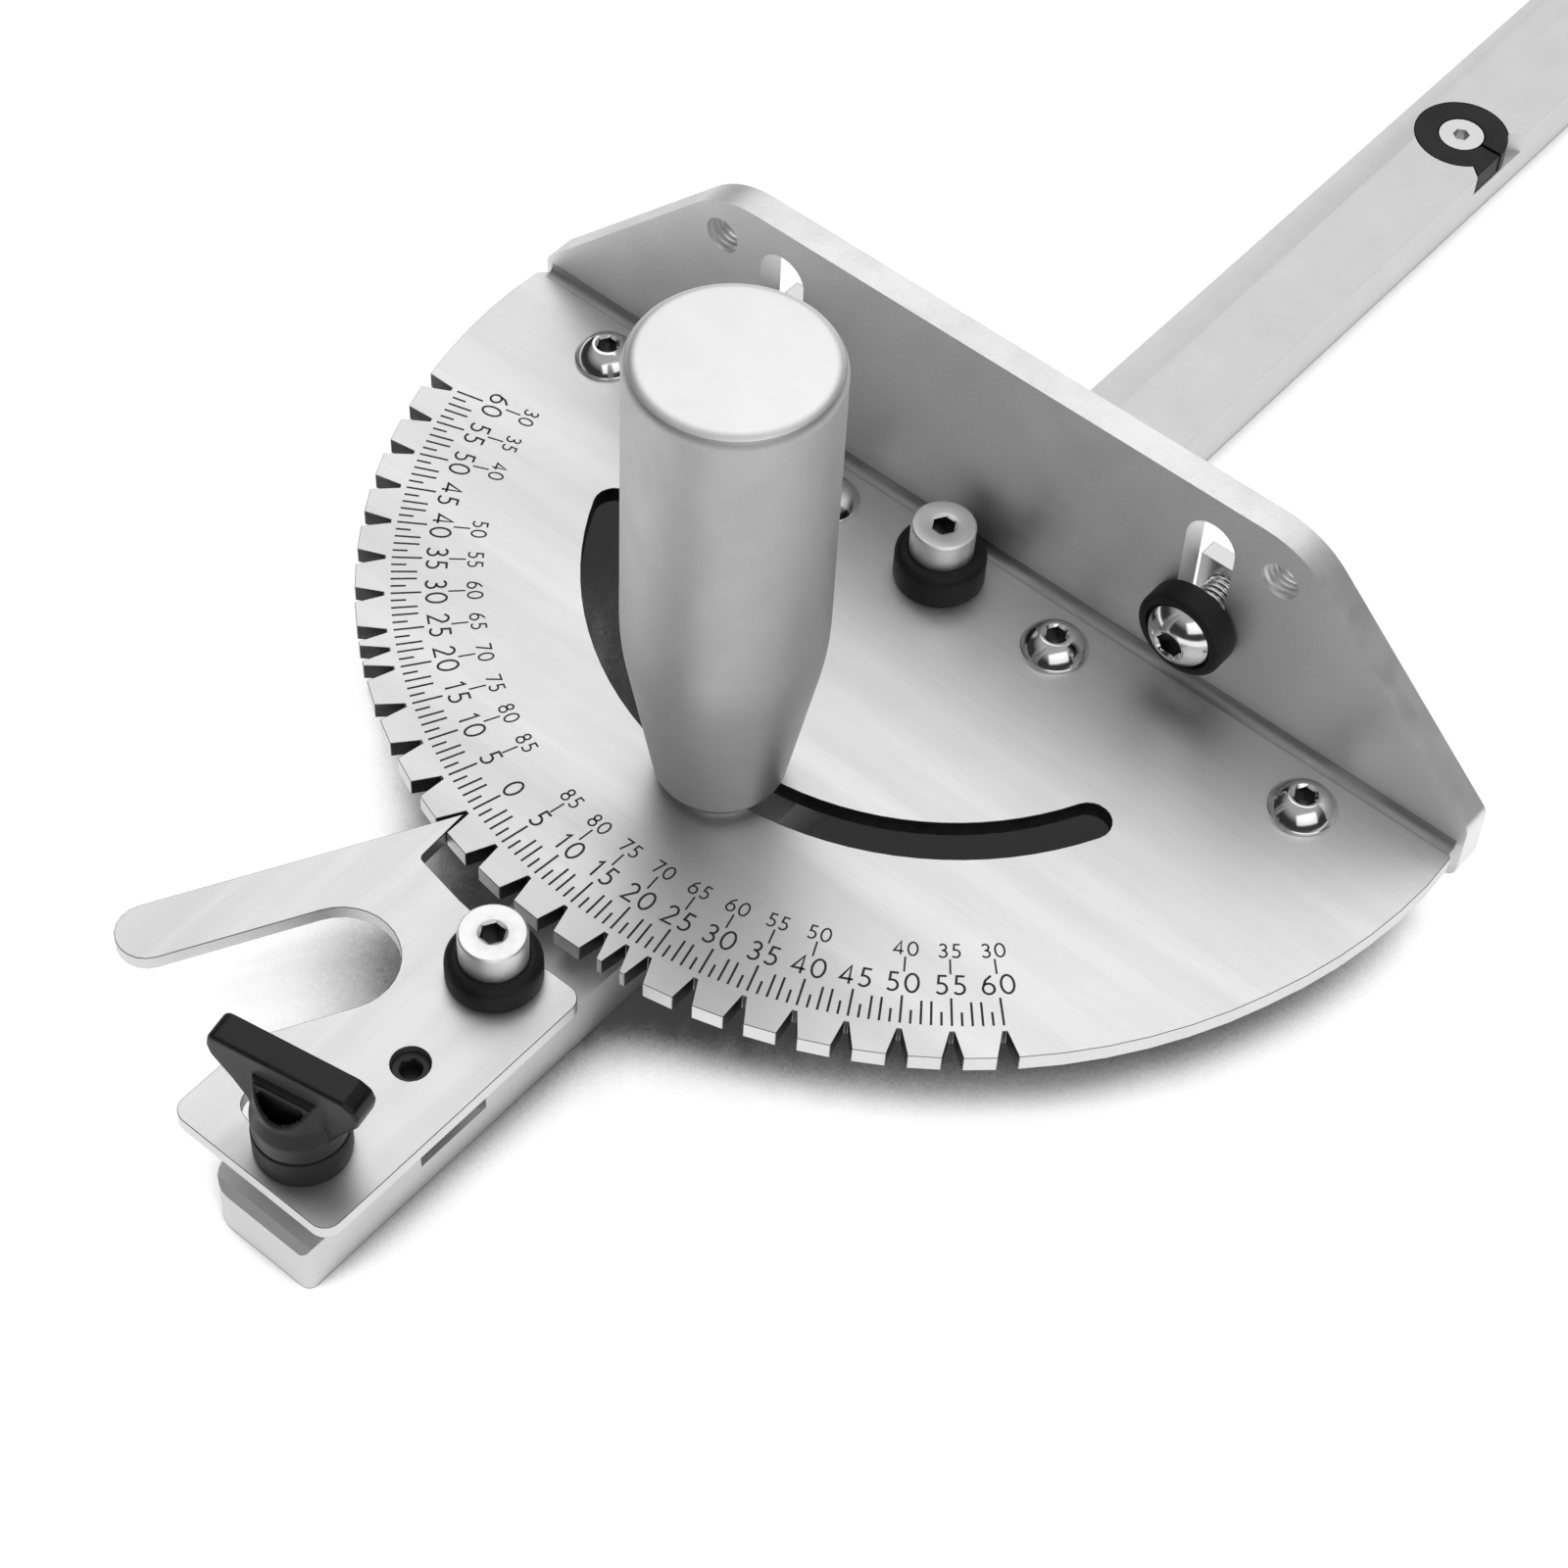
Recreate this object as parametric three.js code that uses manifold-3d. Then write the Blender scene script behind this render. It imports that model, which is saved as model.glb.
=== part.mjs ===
// Table-saw mitre gauge: a guide bar, a notched protractor head with an L-shaped fence,
// a spring-loaded stop lever and two clamping knobs.
// Millimetres, +Z up. The origin is on the bar's underside, on the head's pivot axis.
// +Y runs along the bar, away from the stop lever.

import * as THREE from 'three';
import { mergeVertices } from 'three/addons/utils/BufferGeometryUtils.js';
import Module from 'manifold-3d';

const wasm = await Module();
wasm.setup();

// ---- Driving dimensions -------------------------------------------------------------------

// Guide bar
const BAR_WIDTH = 19;
const BAR_HEIGHT = 9.5;
const BAR_LENGTH = 450;
const BAR_NEAR_END = -146.9;
const BAR_CORNER = 1.5;
const BAR_LEFT_CORNER = 4;
const BAR_LEAD_IN = 1.2;
const BAR_TAP_FLOOR = 2;

// Clearances
const SLIDE_GAP = 0.1;
const RADIAL_GAP = 0.05;
const CUT_OVERRUN = 1;

// M6 fasteners
const M6_SHANK = 2.9;
const M6_TAP = M6_SHANK + RADIAL_GAP;
const M6_CLEARANCE = 3.1;
const CAP_HEAD_RADIUS = 5;
const CAP_HEAD_HEIGHT = 6;
const CAP_SOCKET_FLATS = 5;
const CAP_SOCKET_DEPTH = 3;
const CAP_EDGE = 0.4;
const BUTTON_RADIUS = 5.2;
const BUTTON_HEIGHT = 3.3;
const BUTTON_FLAT_RADIUS = 2.9;
const BUTTON_SOCKET_FLATS = 4;
const BUTTON_SOCKET_DEPTH = 2;

// Protractor head
const PLATE_TOP = 16;
const PLATE_THICKNESS = 3;
const RIM_RADIUS = 88.9;
const RIM_END_RADIUS = 89.7;
const RIM_FLARE_DEG = 70;
const PLATE_STRAIGHT_EDGE = 8.7;
const PLATE_END_CHAMFER = 1.8;
const NOTCH_ROOT_RADIUS = 84.5;
const NOTCH_HALF_MOUTH = 1.5;
const NOTCH_ROOT_HALF_WIDTH = 0.3;
const SCALE_ZERO_DEG = -15.1;
const NOTCH_STEP_DEG = 5;
const NOTCH_LAST_DEG = 60;
const NOTCH_HALF_STEP_DEG = 22.5;
const SLOT_RADIUS = 51.4;
const SLOT_HALF_WIDTH = 3.3;
const SLOT_END_DEG = 63.9;
const PLATE_SCREWS_X = [-68, -22.3, 22.3, 68];

// Fence
const FENCE_LEFT = { end: -89, shoulder: -53, footZ: 18.5 };
const FENCE_RIGHT = { end: 90.1, shoulder: 55, footZ: 21.2 };
const FENCE_FRONT = 8.8;
const FENCE_THICKNESS = 5;
const FENCE_TOP = 54.8;
const FENCE_SHOULDER_RADIUS = 16;
const FENCE_LOWER_RADIUS = 2.5;
const FLANGE_FRONT = -8.5;
const FLANGE_RADIUS = 88.2;
const FENCE_SLOT_X = 40.3;
const FENCE_SLOT_HALF_WIDTH = 4.25;
const FENCE_SLOT_LOW = 24.2;
const FENCE_SLOT_HIGH = 45.4;
const FENCE_THREAD_X = 52.3;
const FENCE_THREAD_Z = 46.7;
const FENCE_THREAD_RADIUS = 3.1;

// Fence bolts
const BOLT_Z = 29.2;
const BOLT_HEAD_RADIUS = 5.7;
const BOLT_CAP_RADIUS = 7.4;
const BOLT_CAP_LENGTH = 4.4;
const BOLT_CAP_FLOOR = 3.4;
const BOLT_CAP_POCKET = 5.85;
const BOLT_GAP = 0.3;
const BOLT_END_Y = 22;
const BOLT_NUT_SIDE = 10;
const BOLT_NUT_THICKNESS = 3.2;
const BOLT_NUT_STANDOFF = 2.1;

// Pivot and stop-lever posts
const COLLAR_GAP = 0.15;
const COLLAR_POCKET_RADIUS = 5.2;
const PIVOT_COLLAR_RADIUS = 7.1;
const PIVOT_COLLAR_TOP = 22;
const PIVOT_BUSHING_RADIUS = 5;
const LEVER_PIVOT_Y = -99.5;
const LEVER_COLLAR_RADIUS = 7;
const LEVER_COLLAR_TOP = 20.4;
const LEVER_BUSHING_RADIUS = 4;
const COLLAR_POCKET_DEPTH = 0.9;

// Riser block under the lever
const RISER_NEAR = -142;
const RISER_FAR = -95.6;
const RISER_HALF_WIDTH = 9.4;
const RISER_TOP = 13.4;

// Stop lever
const LEVER_THICKNESS = 2.5;
const LEVER_RIGHT = 12.3;
const LEVER_LEFT = -17.3;
const LEVER_NEAR = -145.3;
const LEVER_FRONT_RADIUS = 94.5;
const LEVER_CORNER = 2.6;
const FINGER_DEG = 28.5;
const FINGER_TIP = [-40.9, -126.6];
const FINGER_RADIUS = 4.75;
const GAP_CENTRE = [-17.8, -112.2];
const GAP_RADIUS = 8.75;
const TOOTH_TIP_RADIUS = 84.95;
const TOOTH_ROOT = [-21.45, -91.2];
const KNOB_Y = -137.1;
const KNOB_SLOT_HALF_WIDTH = 3.1;
const KNOB_SLOT_TRAVEL_DEG = 13;
const KNOB_SLOT_SPARE_DEG = 1;
const PEG_CENTRE = [1.9, -118.3];
const PEG_RADIUS = 2.8;
const PEG_TOP = 15.4;
const PEG_BOTTOM = 6.2;
const PEG_SOCKET_FLATS = 3;
const PEG_SOCKET_DEPTH = 2.5;
const LEVER_SWING_DEG = 12;

// Spring pocket in the bar
const POCKET_FLOOR = 5.2;
const POCKET_NEAR = -124.7;
const POCKET_FAR = -111.7;
const POCKET_LEFT = -1.6;
const SPRING_END_X = 9.1;
const SPRING_BOW = 3.7;
const SPRING_THICKNESS = 0.4;
const SPRING_TOP = 9.1;
const SPRING_STEPS = 12;

// Clamping handle
const HANDLE_RADIUS = 14.75;
const HANDLE_FOOT_RADIUS = 9.7;
const HANDLE_BOTTOM = 17.8;
const HANDLE_TAPER_TOP = 47;
const HANDLE_TOP = 101.2;
const HANDLE_TOP_EDGE = 1.8;
const HANDLE_FOOT_EDGE = 0.9;
const HANDLE_BORE_TOP = 62;
const HANDLE_STUD_TOP = 60;
const HANDLE_WASHER_RADIUS = 8;

// Wing knob
const KNOB_COLLAR_RADIUS = 6.85;
const KNOB_COLLAR_TOP = 21;
const KNOB_BODY_RADIUS = 6.7;
const KNOB_WAIST_RADIUS = 5.4;
const KNOB_WAIST_Z = 30;
const KNOB_TOP = 35.8;
const KNOB_WING_HALF = 11.4;
const KNOB_WING_LONG_HALF = 12.5;
const KNOB_WING_THICKNESS = 4.8;
const KNOB_WING_TURN_DEG = 11;
const KNOB_INSERT_RADIUS = 4.2;
const KNOB_INSERT_TOP = 31;
const KNOB_STUD_TOP = 30;

// Width adjusters in the bar
const ADJUSTER_Y = [145.2, 272];
const ADJUSTER_X = 1.2;
const ADJUSTER_POCKET_RADIUS = 8.3;
const ADJUSTER_DISC_RADIUS = 8.1;
const ADJUSTER_DEPTH = 4;
const ADJUSTER_MOUTH_HALF = 7.5;
const ADJUSTER_NECK_HALF = 5.6;
const ADJUSTER_NECK_X = 7.3;
const ADJUSTER_SLIT = 0.7;
const ADJUSTER_SCREW_HEAD = 4;
const ADJUSTER_SCREW_SHANK = 1.95;
const ADJUSTER_SCREW_BOTTOM = 2;
const ADJUSTER_SOCKET_FLATS = 2.5;
const ADJUSTER_SOCKET_DEPTH = 1.4;

// Facets on a full circle
const FINE = 56;
const ROUND = 32;
const SMALL = 24;

// ---- Worked-out sizes ---------------------------------------------------------------------

const PLATE_BOTTOM = PLATE_TOP - PLATE_THICKNESS;
const FENCE_BACK = FENCE_FRONT + FENCE_THICKNESS;
const FENCE_BOTTOM = BAR_HEIGHT + SLIDE_GAP;
const LEVER_BOTTOM = PLATE_TOP - LEVER_THICKNESS;
const COLLAR_BOTTOM = PLATE_TOP + COLLAR_GAP;
const BAR_FAR_END = BAR_NEAR_END + BAR_LENGTH;
const HALF_BAR = BAR_WIDTH / 2;

const radians = THREE.MathUtils.degToRad;

// ---- Materials ----------------------------------------------------------------------------

function finish(color, roughness, metalness) {
  return new THREE.MeshStandardMaterial({ color, roughness, metalness });
}

const MATERIALS = {
  anodised: finish(0xd9dadb, 0.5, 0.9),
  brushed: finish(0xc9cacc, 0.32, 1),
  steel: finish(0xb9bbbe, 0.18, 1),
  black: finish(0x1a1a1b, 0.45, 0),
  brass: finish(0xb08d45, 0.35, 1),
};

// ---- Solid helpers ------------------------------------------------------------------------

// A closed three.js geometry as a solid that can be joined and cut.
function solid(geometry) {
  const bare = geometry.index ? geometry.toNonIndexed() : geometry.clone();
  bare.deleteAttribute('normal');
  bare.deleteAttribute('uv');
  const merged = mergeVertices(bare, 1e-5);
  const mesh = new wasm.Mesh({
    numProp: 3,
    vertProperties: new Float32Array(merged.attributes.position.array),
    triVerts: new Uint32Array(merged.index.array),
  });
  return new wasm.Manifold(mesh);
}

function geometryOf(body) {
  const mesh = body.getMesh();
  const geometry = new THREE.BufferGeometry();
  geometry.setAttribute('position', new THREE.BufferAttribute(mesh.vertProperties, 3));
  geometry.setIndex(new THREE.BufferAttribute(mesh.triVerts, 1));
  geometry.computeVertexNormals();
  return geometry;
}

function cut(body, ...tools) {
  return tools.reduce((rest, tool) => rest.subtract(tool), body);
}

function join(first, ...others) {
  return others.reduce((whole, other) => whole.add(other), first);
}

// An outline in X and Y, raised from one height to another.
function slab(shape, low, high, curveSegments = SMALL) {
  const geometry = new THREE.ExtrudeGeometry(shape, {
    depth: high - low,
    bevelEnabled: false,
    curveSegments,
  });
  return solid(geometry.translate(0, 0, low));
}

function box(x0, x1, y0, y1, z0, z1) {
  const geometry = new THREE.BoxGeometry(x1 - x0, y1 - y0, z1 - z0);
  return solid(geometry.translate((x0 + x1) / 2, (y0 + y1) / 2, (z0 + z1) / 2));
}

// An upright round rod, or a hexagonal one with six facets.
function rod(radius, low, high, x = 0, y = 0, facets = ROUND) {
  const geometry = new THREE.CylinderGeometry(radius, radius, high - low, facets);
  geometry.rotateX(Math.PI / 2);
  return solid(geometry.translate(x, y, (low + high) / 2));
}

function hexagon(flats, low, high, x = 0, y = 0) {
  return rod(flats / Math.sqrt(3), low, high, x, y, 6);
}

// A turned body from [radius, height] pairs that close on the axis or on themselves.
function turned(profile, facets = ROUND) {
  const points = profile.map(([radius, height]) => new THREE.Vector2(radius, height));
  const geometry = new THREE.LatheGeometry(points, facets);
  return solid(geometry.rotateX(Math.PI / 2));
}

function sleeve(outer, inner, low, high, facets = ROUND) {
  return turned([[inner, low], [outer, low], [outer, high], [inner, high], [inner, low]], facets);
}

function polygon(points) {
  return new THREE.Shape(points.map(([x, y]) => new THREE.Vector2(x, y)));
}

// A polygon whose corners are rounded; each point is [x, y, radius].
function roundedPolygon(points, arcSteps = 6) {
  const outline = [];
  points.forEach(([x, y, radius], i) => {
    const corner = new THREE.Vector2(x, y);
    if (!radius) {
      outline.push(corner);
      return;
    }
    const before = points.at(i - 1);
    const after = points[(i + 1) % points.length];
    const back = new THREE.Vector2(before[0], before[1]).sub(corner).normalize();
    const ahead = new THREE.Vector2(after[0], after[1]).sub(corner).normalize();
    const half = Math.acos(back.dot(ahead)) / 2;
    const reach = radius / Math.tan(half);
    const start = corner.clone().addScaledVector(back, reach);
    const end = corner.clone().addScaledVector(ahead, reach);
    const inward = back.clone().add(ahead).normalize();
    const centre = corner.clone().addScaledVector(inward, radius / Math.sin(half));
    const from = start.clone().sub(centre);
    const turn = Math.atan2(from.cross(end.clone().sub(centre)), from.dot(end.clone().sub(centre)));
    for (let k = 0; k <= arcSteps; k += 1) {
      outline.push(from.clone().rotateAround(new THREE.Vector2(), turn * k / arcSteps).add(centre));
    }
  });
  return new THREE.Shape(outline);
}

// A point at a radius and an angle from -Y, positive towards +X.
function polar(radius, degrees, centreX = 0, centreY = 0) {
  const angle = radians(degrees);
  return [centreX + radius * Math.sin(angle), centreY - radius * Math.cos(angle)];
}

// Points on an arc between two such angles.
function arc(radius, fromDeg, toDeg, steps, centreX = 0, centreY = 0) {
  return Array.from({ length: steps + 1 }, (_, k) =>
    polar(radius, fromDeg + (toDeg - fromDeg) * k / steps, centreX, centreY));
}

// A curved slot with round ends, cut about a centre.
function curvedSlot(radius, halfWidth, fromDeg, toDeg, steps, centreX = 0, centreY = 0) {
  const endSteps = 10;
  const [startX, startY] = polar(radius, fromDeg, centreX, centreY);
  const [endX, endY] = polar(radius, toDeg, centreX, centreY);
  return polygon([
    ...arc(radius + halfWidth, fromDeg, toDeg, steps, centreX, centreY),
    ...arc(halfWidth, toDeg, toDeg + 180, endSteps, endX, endY).slice(1, -1),
    ...arc(radius - halfWidth, toDeg, fromDeg, steps, centreX, centreY),
    ...arc(halfWidth, fromDeg + 180, fromDeg + 360, endSteps, startX, startY).slice(1, -1),
  ]);
}

function part(name, material, body, x = 0, y = 0, z = 0) {
  const mesh = new THREE.Mesh(geometryOf(body), MATERIALS[material]);
  mesh.name = name;
  mesh.position.set(x, y, z);
  return mesh;
}

function group(...children) {
  const set = new THREE.Group();
  set.add(...children);
  return set;
}

// ---- Fasteners ----------------------------------------------------------------------------

// A socket cap screw on the Z axis, its head's underside at `seat`.
function capScrew(seat, shankBottom) {
  const top = seat + CAP_HEAD_HEIGHT;
  const blank = turned([
    [0, shankBottom],
    [M6_SHANK, shankBottom],
    [M6_SHANK, seat],
    [CAP_HEAD_RADIUS, seat],
    [CAP_HEAD_RADIUS, top - CAP_EDGE],
    [CAP_HEAD_RADIUS - CAP_EDGE, top],
    [0, top],
  ]);
  return cut(blank, hexagon(CAP_SOCKET_FLATS, top - CAP_SOCKET_DEPTH, top + CUT_OVERRUN));
}

// A button-head screw with its head's underside at height 0.
function buttonScrew(shankLength, headRadius = BUTTON_RADIUS) {
  const domeSteps = 4;
  const dome = Array.from({ length: domeSteps + 1 }, (_, k) => {
    const angle = Math.PI / 2 * k / domeSteps;
    const spread = headRadius - BUTTON_FLAT_RADIUS;
    return [BUTTON_FLAT_RADIUS + spread * Math.cos(angle), BUTTON_HEIGHT * Math.sin(angle)];
  });
  const blank = turned([[0, -shankLength], [M6_SHANK, -shankLength], [M6_SHANK, 0], ...dome,
    [0, BUTTON_HEIGHT]]);
  const socketFloor = BUTTON_HEIGHT - BUTTON_SOCKET_DEPTH;
  return cut(blank, hexagon(BUTTON_SOCKET_FLATS, socketFloor, BUTTON_HEIGHT + CUT_OVERRUN));
}

// A black spacer collar with a shallow pocket for the screw's head.
function collar(radius, low, high) {
  const edge = 0.5;
  const floor = high - COLLAR_POCKET_DEPTH;
  return turned([
    [M6_CLEARANCE, low],
    [radius, low],
    [radius, high - edge],
    [radius - edge, high],
    [COLLAR_POCKET_RADIUS, high],
    [COLLAR_POCKET_RADIUS, floor],
    [M6_CLEARANCE, floor],
    [M6_CLEARANCE, low],
  ]);
}

// ---- Guide bar ----------------------------------------------------------------------------

// The pocket's round bed with a flared mouth through the bar's +X side.
function adjusterPocket(y) {
  const low = BAR_HEIGHT - ADJUSTER_DEPTH;
  const high = BAR_HEIGHT + CUT_OVERRUN;
  const past = HALF_BAR + CUT_OVERRUN;
  const mouth = polygon([
    [ADJUSTER_X, y - ADJUSTER_NECK_HALF],
    [ADJUSTER_NECK_X, y - ADJUSTER_NECK_HALF],
    [HALF_BAR, y - ADJUSTER_MOUTH_HALF],
    [past, y - ADJUSTER_MOUTH_HALF],
    [past, y + ADJUSTER_MOUTH_HALF],
    [HALF_BAR, y + ADJUSTER_MOUTH_HALF],
    [ADJUSTER_NECK_X, y + ADJUSTER_NECK_HALF],
    [ADJUSTER_X, y + ADJUSTER_NECK_HALF],
  ]);
  const tapRadius = ADJUSTER_SCREW_SHANK + RADIAL_GAP;
  return join(
    rod(ADJUSTER_POCKET_RADIUS, low, high, ADJUSTER_X, y, FINE),
    slab(mouth, low, high),
    rod(tapRadius, ADJUSTER_SCREW_BOTTOM - SLIDE_GAP, high, ADJUSTER_X, y, SMALL),
  );
}

function guideBar() {
  const outline = roundedPolygon([
    [-HALF_BAR, BAR_NEAR_END, BAR_LEFT_CORNER],
    [HALF_BAR, BAR_NEAR_END, BAR_CORNER],
    [HALF_BAR, BAR_FAR_END, BAR_CORNER],
    [-HALF_BAR, BAR_FAR_END, BAR_CORNER],
  ]);
  const top = BAR_HEIGHT + CUT_OVERRUN;
  const leadInSide = BAR_LEAD_IN * Math.SQRT2;
  const leadIn = new THREE.BoxGeometry(BAR_WIDTH + CUT_OVERRUN, leadInSide, leadInSide);
  leadIn.rotateX(Math.PI / 4).translate(0, BAR_NEAR_END, BAR_HEIGHT);
  const taps = [0, -SLOT_RADIUS, LEVER_PIVOT_Y, KNOB_Y].map((y) =>
    rod(M6_TAP, BAR_TAP_FLOOR, top, 0, y, SMALL));
  const springPocket = box(POCKET_LEFT, HALF_BAR + CUT_OVERRUN, POCKET_NEAR, POCKET_FAR,
    POCKET_FLOOR, top);
  return cut(slab(outline, 0, BAR_HEIGHT), solid(leadIn), ...taps, springPocket,
    ...ADJUSTER_Y.map(adjusterPocket));
}

function adjusterDisc() {
  const low = BAR_HEIGHT - ADJUSTER_DEPTH;
  const countersink = ADJUSTER_SCREW_HEAD + 2 * SLIDE_GAP;
  const bore = ADJUSTER_SCREW_SHANK + RADIAL_GAP;
  const ring = turned([
    [bore, low],
    [ADJUSTER_DISC_RADIUS, low],
    [ADJUSTER_DISC_RADIUS, BAR_HEIGHT],
    [countersink, BAR_HEIGHT],
    [bore, BAR_HEIGHT - (countersink - bore)],
    [bore, low],
  ], FINE);
  const neckX = ADJUSTER_NECK_X - ADJUSTER_X;
  const lip = polygon([
    [neckX - CUT_OVERRUN, -CUT_OVERRUN],
    [neckX - CUT_OVERRUN, -ADJUSTER_NECK_HALF],
    [neckX, -ADJUSTER_NECK_HALF + 2 * SLIDE_GAP],
    [ADJUSTER_DISC_RADIUS, -ADJUSTER_MOUTH_HALF + BOLT_GAP + 2 * SLIDE_GAP],
    [ADJUSTER_DISC_RADIUS, -CUT_OVERRUN],
  ]);
  const half = ADJUSTER_SLIT / 2;
  const top = BAR_HEIGHT + CUT_OVERRUN;
  const slit = box(0, ADJUSTER_DISC_RADIUS + CUT_OVERRUN, -half, half, low - CUT_OVERRUN, top);
  return cut(join(ring, slab(lip, low, BAR_HEIGHT)), slit);
}

function adjusterScrew() {
  const top = BAR_HEIGHT - SLIDE_GAP;
  const cone = ADJUSTER_SCREW_HEAD - ADJUSTER_SCREW_SHANK;
  const blank = turned([
    [0, ADJUSTER_SCREW_BOTTOM],
    [ADJUSTER_SCREW_SHANK, ADJUSTER_SCREW_BOTTOM],
    [ADJUSTER_SCREW_SHANK, top - cone],
    [ADJUSTER_SCREW_HEAD, top],
    [0, top],
  ], SMALL);
  return cut(blank, hexagon(ADJUSTER_SOCKET_FLATS, top - ADJUSTER_SOCKET_DEPTH, top + CUT_OVERRUN));
}

function adjusters() {
  return ADJUSTER_Y.flatMap((y, i) => [
    part(`adjuster_disc_${i + 1}`, 'black', adjusterDisc(), ADJUSTER_X, y, 0),
    part(`adjuster_screw_${i + 1}`, 'steel', adjusterScrew(), ADJUSTER_X, y, 0),
  ]);
}

// The block that lifts the stop lever to the head's height.
function riserBlock() {
  const outline = roundedPolygon([
    [-RISER_HALF_WIDTH, RISER_NEAR, BAR_CORNER],
    [RISER_HALF_WIDTH, RISER_NEAR, BAR_CORNER],
    [RISER_HALF_WIDTH, RISER_FAR, BAR_CORNER],
    [-RISER_HALF_WIDTH, RISER_FAR, BAR_CORNER],
  ]);
  const low = BAR_HEIGHT - CUT_OVERRUN;
  const high = RISER_TOP + CUT_OVERRUN;
  const [pegX, pegY] = PEG_CENTRE;
  const pegAtY = pegY - LEVER_PIVOT_Y;
  const pegDeg = THREE.MathUtils.radToDeg(Math.atan2(pegX, -pegAtY));
  const pegSlot = curvedSlot(Math.hypot(pegX, pegAtY), PEG_RADIUS + BOLT_GAP, pegDeg - 1,
    pegDeg + LEVER_SWING_DEG + 1, 6, 0, LEVER_PIVOT_Y);
  return cut(
    slab(outline, BAR_HEIGHT, RISER_TOP),
    rod(M6_CLEARANCE, low, high, 0, LEVER_PIVOT_Y, SMALL),
    rod(M6_CLEARANCE, low, high, 0, KNOB_Y, SMALL),
    slab(pegSlot, low, high),
  );
}

// A bowed leaf that stands in the bar's side pocket and presses on the lever's peg.
function leverSpring() {
  const near = POCKET_NEAR + BOLT_GAP;
  const far = POCKET_FAR - BOLT_GAP;
  const bowed = (inset) => Array.from({ length: SPRING_STEPS + 1 }, (_, k) => {
    const t = k / SPRING_STEPS;
    return [SPRING_END_X - inset - SPRING_BOW * Math.sin(Math.PI * t), near + (far - near) * t];
  });
  const outline = polygon([...bowed(0), ...bowed(SPRING_THICKNESS).reverse()]);
  return slab(outline, POCKET_FLOOR + SLIDE_GAP, SPRING_TOP);
}

function bar() {
  const pivotSeat = PIVOT_COLLAR_TOP - COLLAR_POCKET_DEPTH;
  const leverSeat = LEVER_COLLAR_TOP - COLLAR_POCKET_DEPTH;
  const studFoot = BAR_TAP_FLOOR + SLIDE_GAP;
  return group(
    part('guide_bar', 'anodised', guideBar()),
    part('riser_block', 'anodised', riserBlock()),
    part('lever_spring', 'steel', leverSpring()),
    part('pivot_bushing', 'brass',
      sleeve(PIVOT_BUSHING_RADIUS, M6_CLEARANCE, BAR_HEIGHT, COLLAR_BOTTOM)),
    part('pivot_collar', 'black', collar(PIVOT_COLLAR_RADIUS, COLLAR_BOTTOM, PIVOT_COLLAR_TOP)),
    part('pivot_screw', 'steel', capScrew(pivotSeat, studFoot)),
    part('lever_bushing', 'brass',
      sleeve(LEVER_BUSHING_RADIUS, M6_CLEARANCE, RISER_TOP, COLLAR_BOTTOM), 0, LEVER_PIVOT_Y),
    part('lever_collar', 'black',
      collar(LEVER_COLLAR_RADIUS, COLLAR_BOTTOM, LEVER_COLLAR_TOP), 0, LEVER_PIVOT_Y),
    part('lever_screw', 'steel', capScrew(leverSeat, studFoot), 0, LEVER_PIVOT_Y),
    part('handle_stud', 'steel', rod(M6_SHANK, studFoot, HANDLE_STUD_TOP, 0, 0, SMALL),
      0, -SLOT_RADIUS),
    part('handle_washer', 'steel',
      sleeve(HANDLE_WASHER_RADIUS, M6_CLEARANCE, COLLAR_BOTTOM, HANDLE_BOTTOM - SLIDE_GAP),
      0, -SLOT_RADIUS),
    part('knob_stud', 'steel', rod(M6_SHANK, studFoot, KNOB_STUD_TOP, 0, 0, SMALL), 0, KNOB_Y),
    part('knob_collar', 'black',
      sleeve(KNOB_COLLAR_RADIUS, M6_CLEARANCE, COLLAR_BOTTOM, KNOB_COLLAR_TOP), 0, KNOB_Y),
    ...adjusters(),
  );
}

// ---- Swivelling head ----------------------------------------------------------------------

function notchAngles() {
  const angles = [-NOTCH_HALF_STEP_DEG, NOTCH_HALF_STEP_DEG];
  for (let a = -NOTCH_LAST_DEG; a <= NOTCH_LAST_DEG; a += NOTCH_STEP_DEG) {
    angles.push(a);
  }
  return angles.sort((a, b) => a - b).map((a) => a + SCALE_ZERO_DEG);
}

// The rim widens a little from the flare angle to its two ends.
function rimRadius(degrees) {
  const spread = Math.max(0, Math.abs(degrees) - RIM_FLARE_DEG) / (90 - RIM_FLARE_DEG);
  return RIM_RADIUS + (RIM_END_RADIUS - RIM_RADIUS) * Math.min(1, spread);
}

// The rim from the -X end round to the +X end, with its stop notches.
function notchedRim(startDeg, endDeg) {
  const plainStepDeg = 4;
  const mouthDeg = THREE.MathUtils.radToDeg(NOTCH_HALF_MOUTH / RIM_RADIUS);
  const rootDeg = THREE.MathUtils.radToDeg(NOTCH_ROOT_HALF_WIDTH / NOTCH_ROOT_RADIUS);
  const points = [];
  let from = startDeg;
  const plain = (to) => {
    const steps = Math.max(1, Math.round((to - from) / plainStepDeg));
    for (let k = 0; k <= steps; k += 1) {
      const a = from + (to - from) * k / steps;
      points.push(polar(rimRadius(a), a));
    }
  };
  notchAngles().forEach((a) => {
    plain(a - mouthDeg);
    points.push(polar(NOTCH_ROOT_RADIUS, a - rootDeg), polar(NOTCH_ROOT_RADIUS, a + rootDeg));
    from = a + mouthDeg;
  });
  plain(endDeg);
  return points;
}

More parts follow.
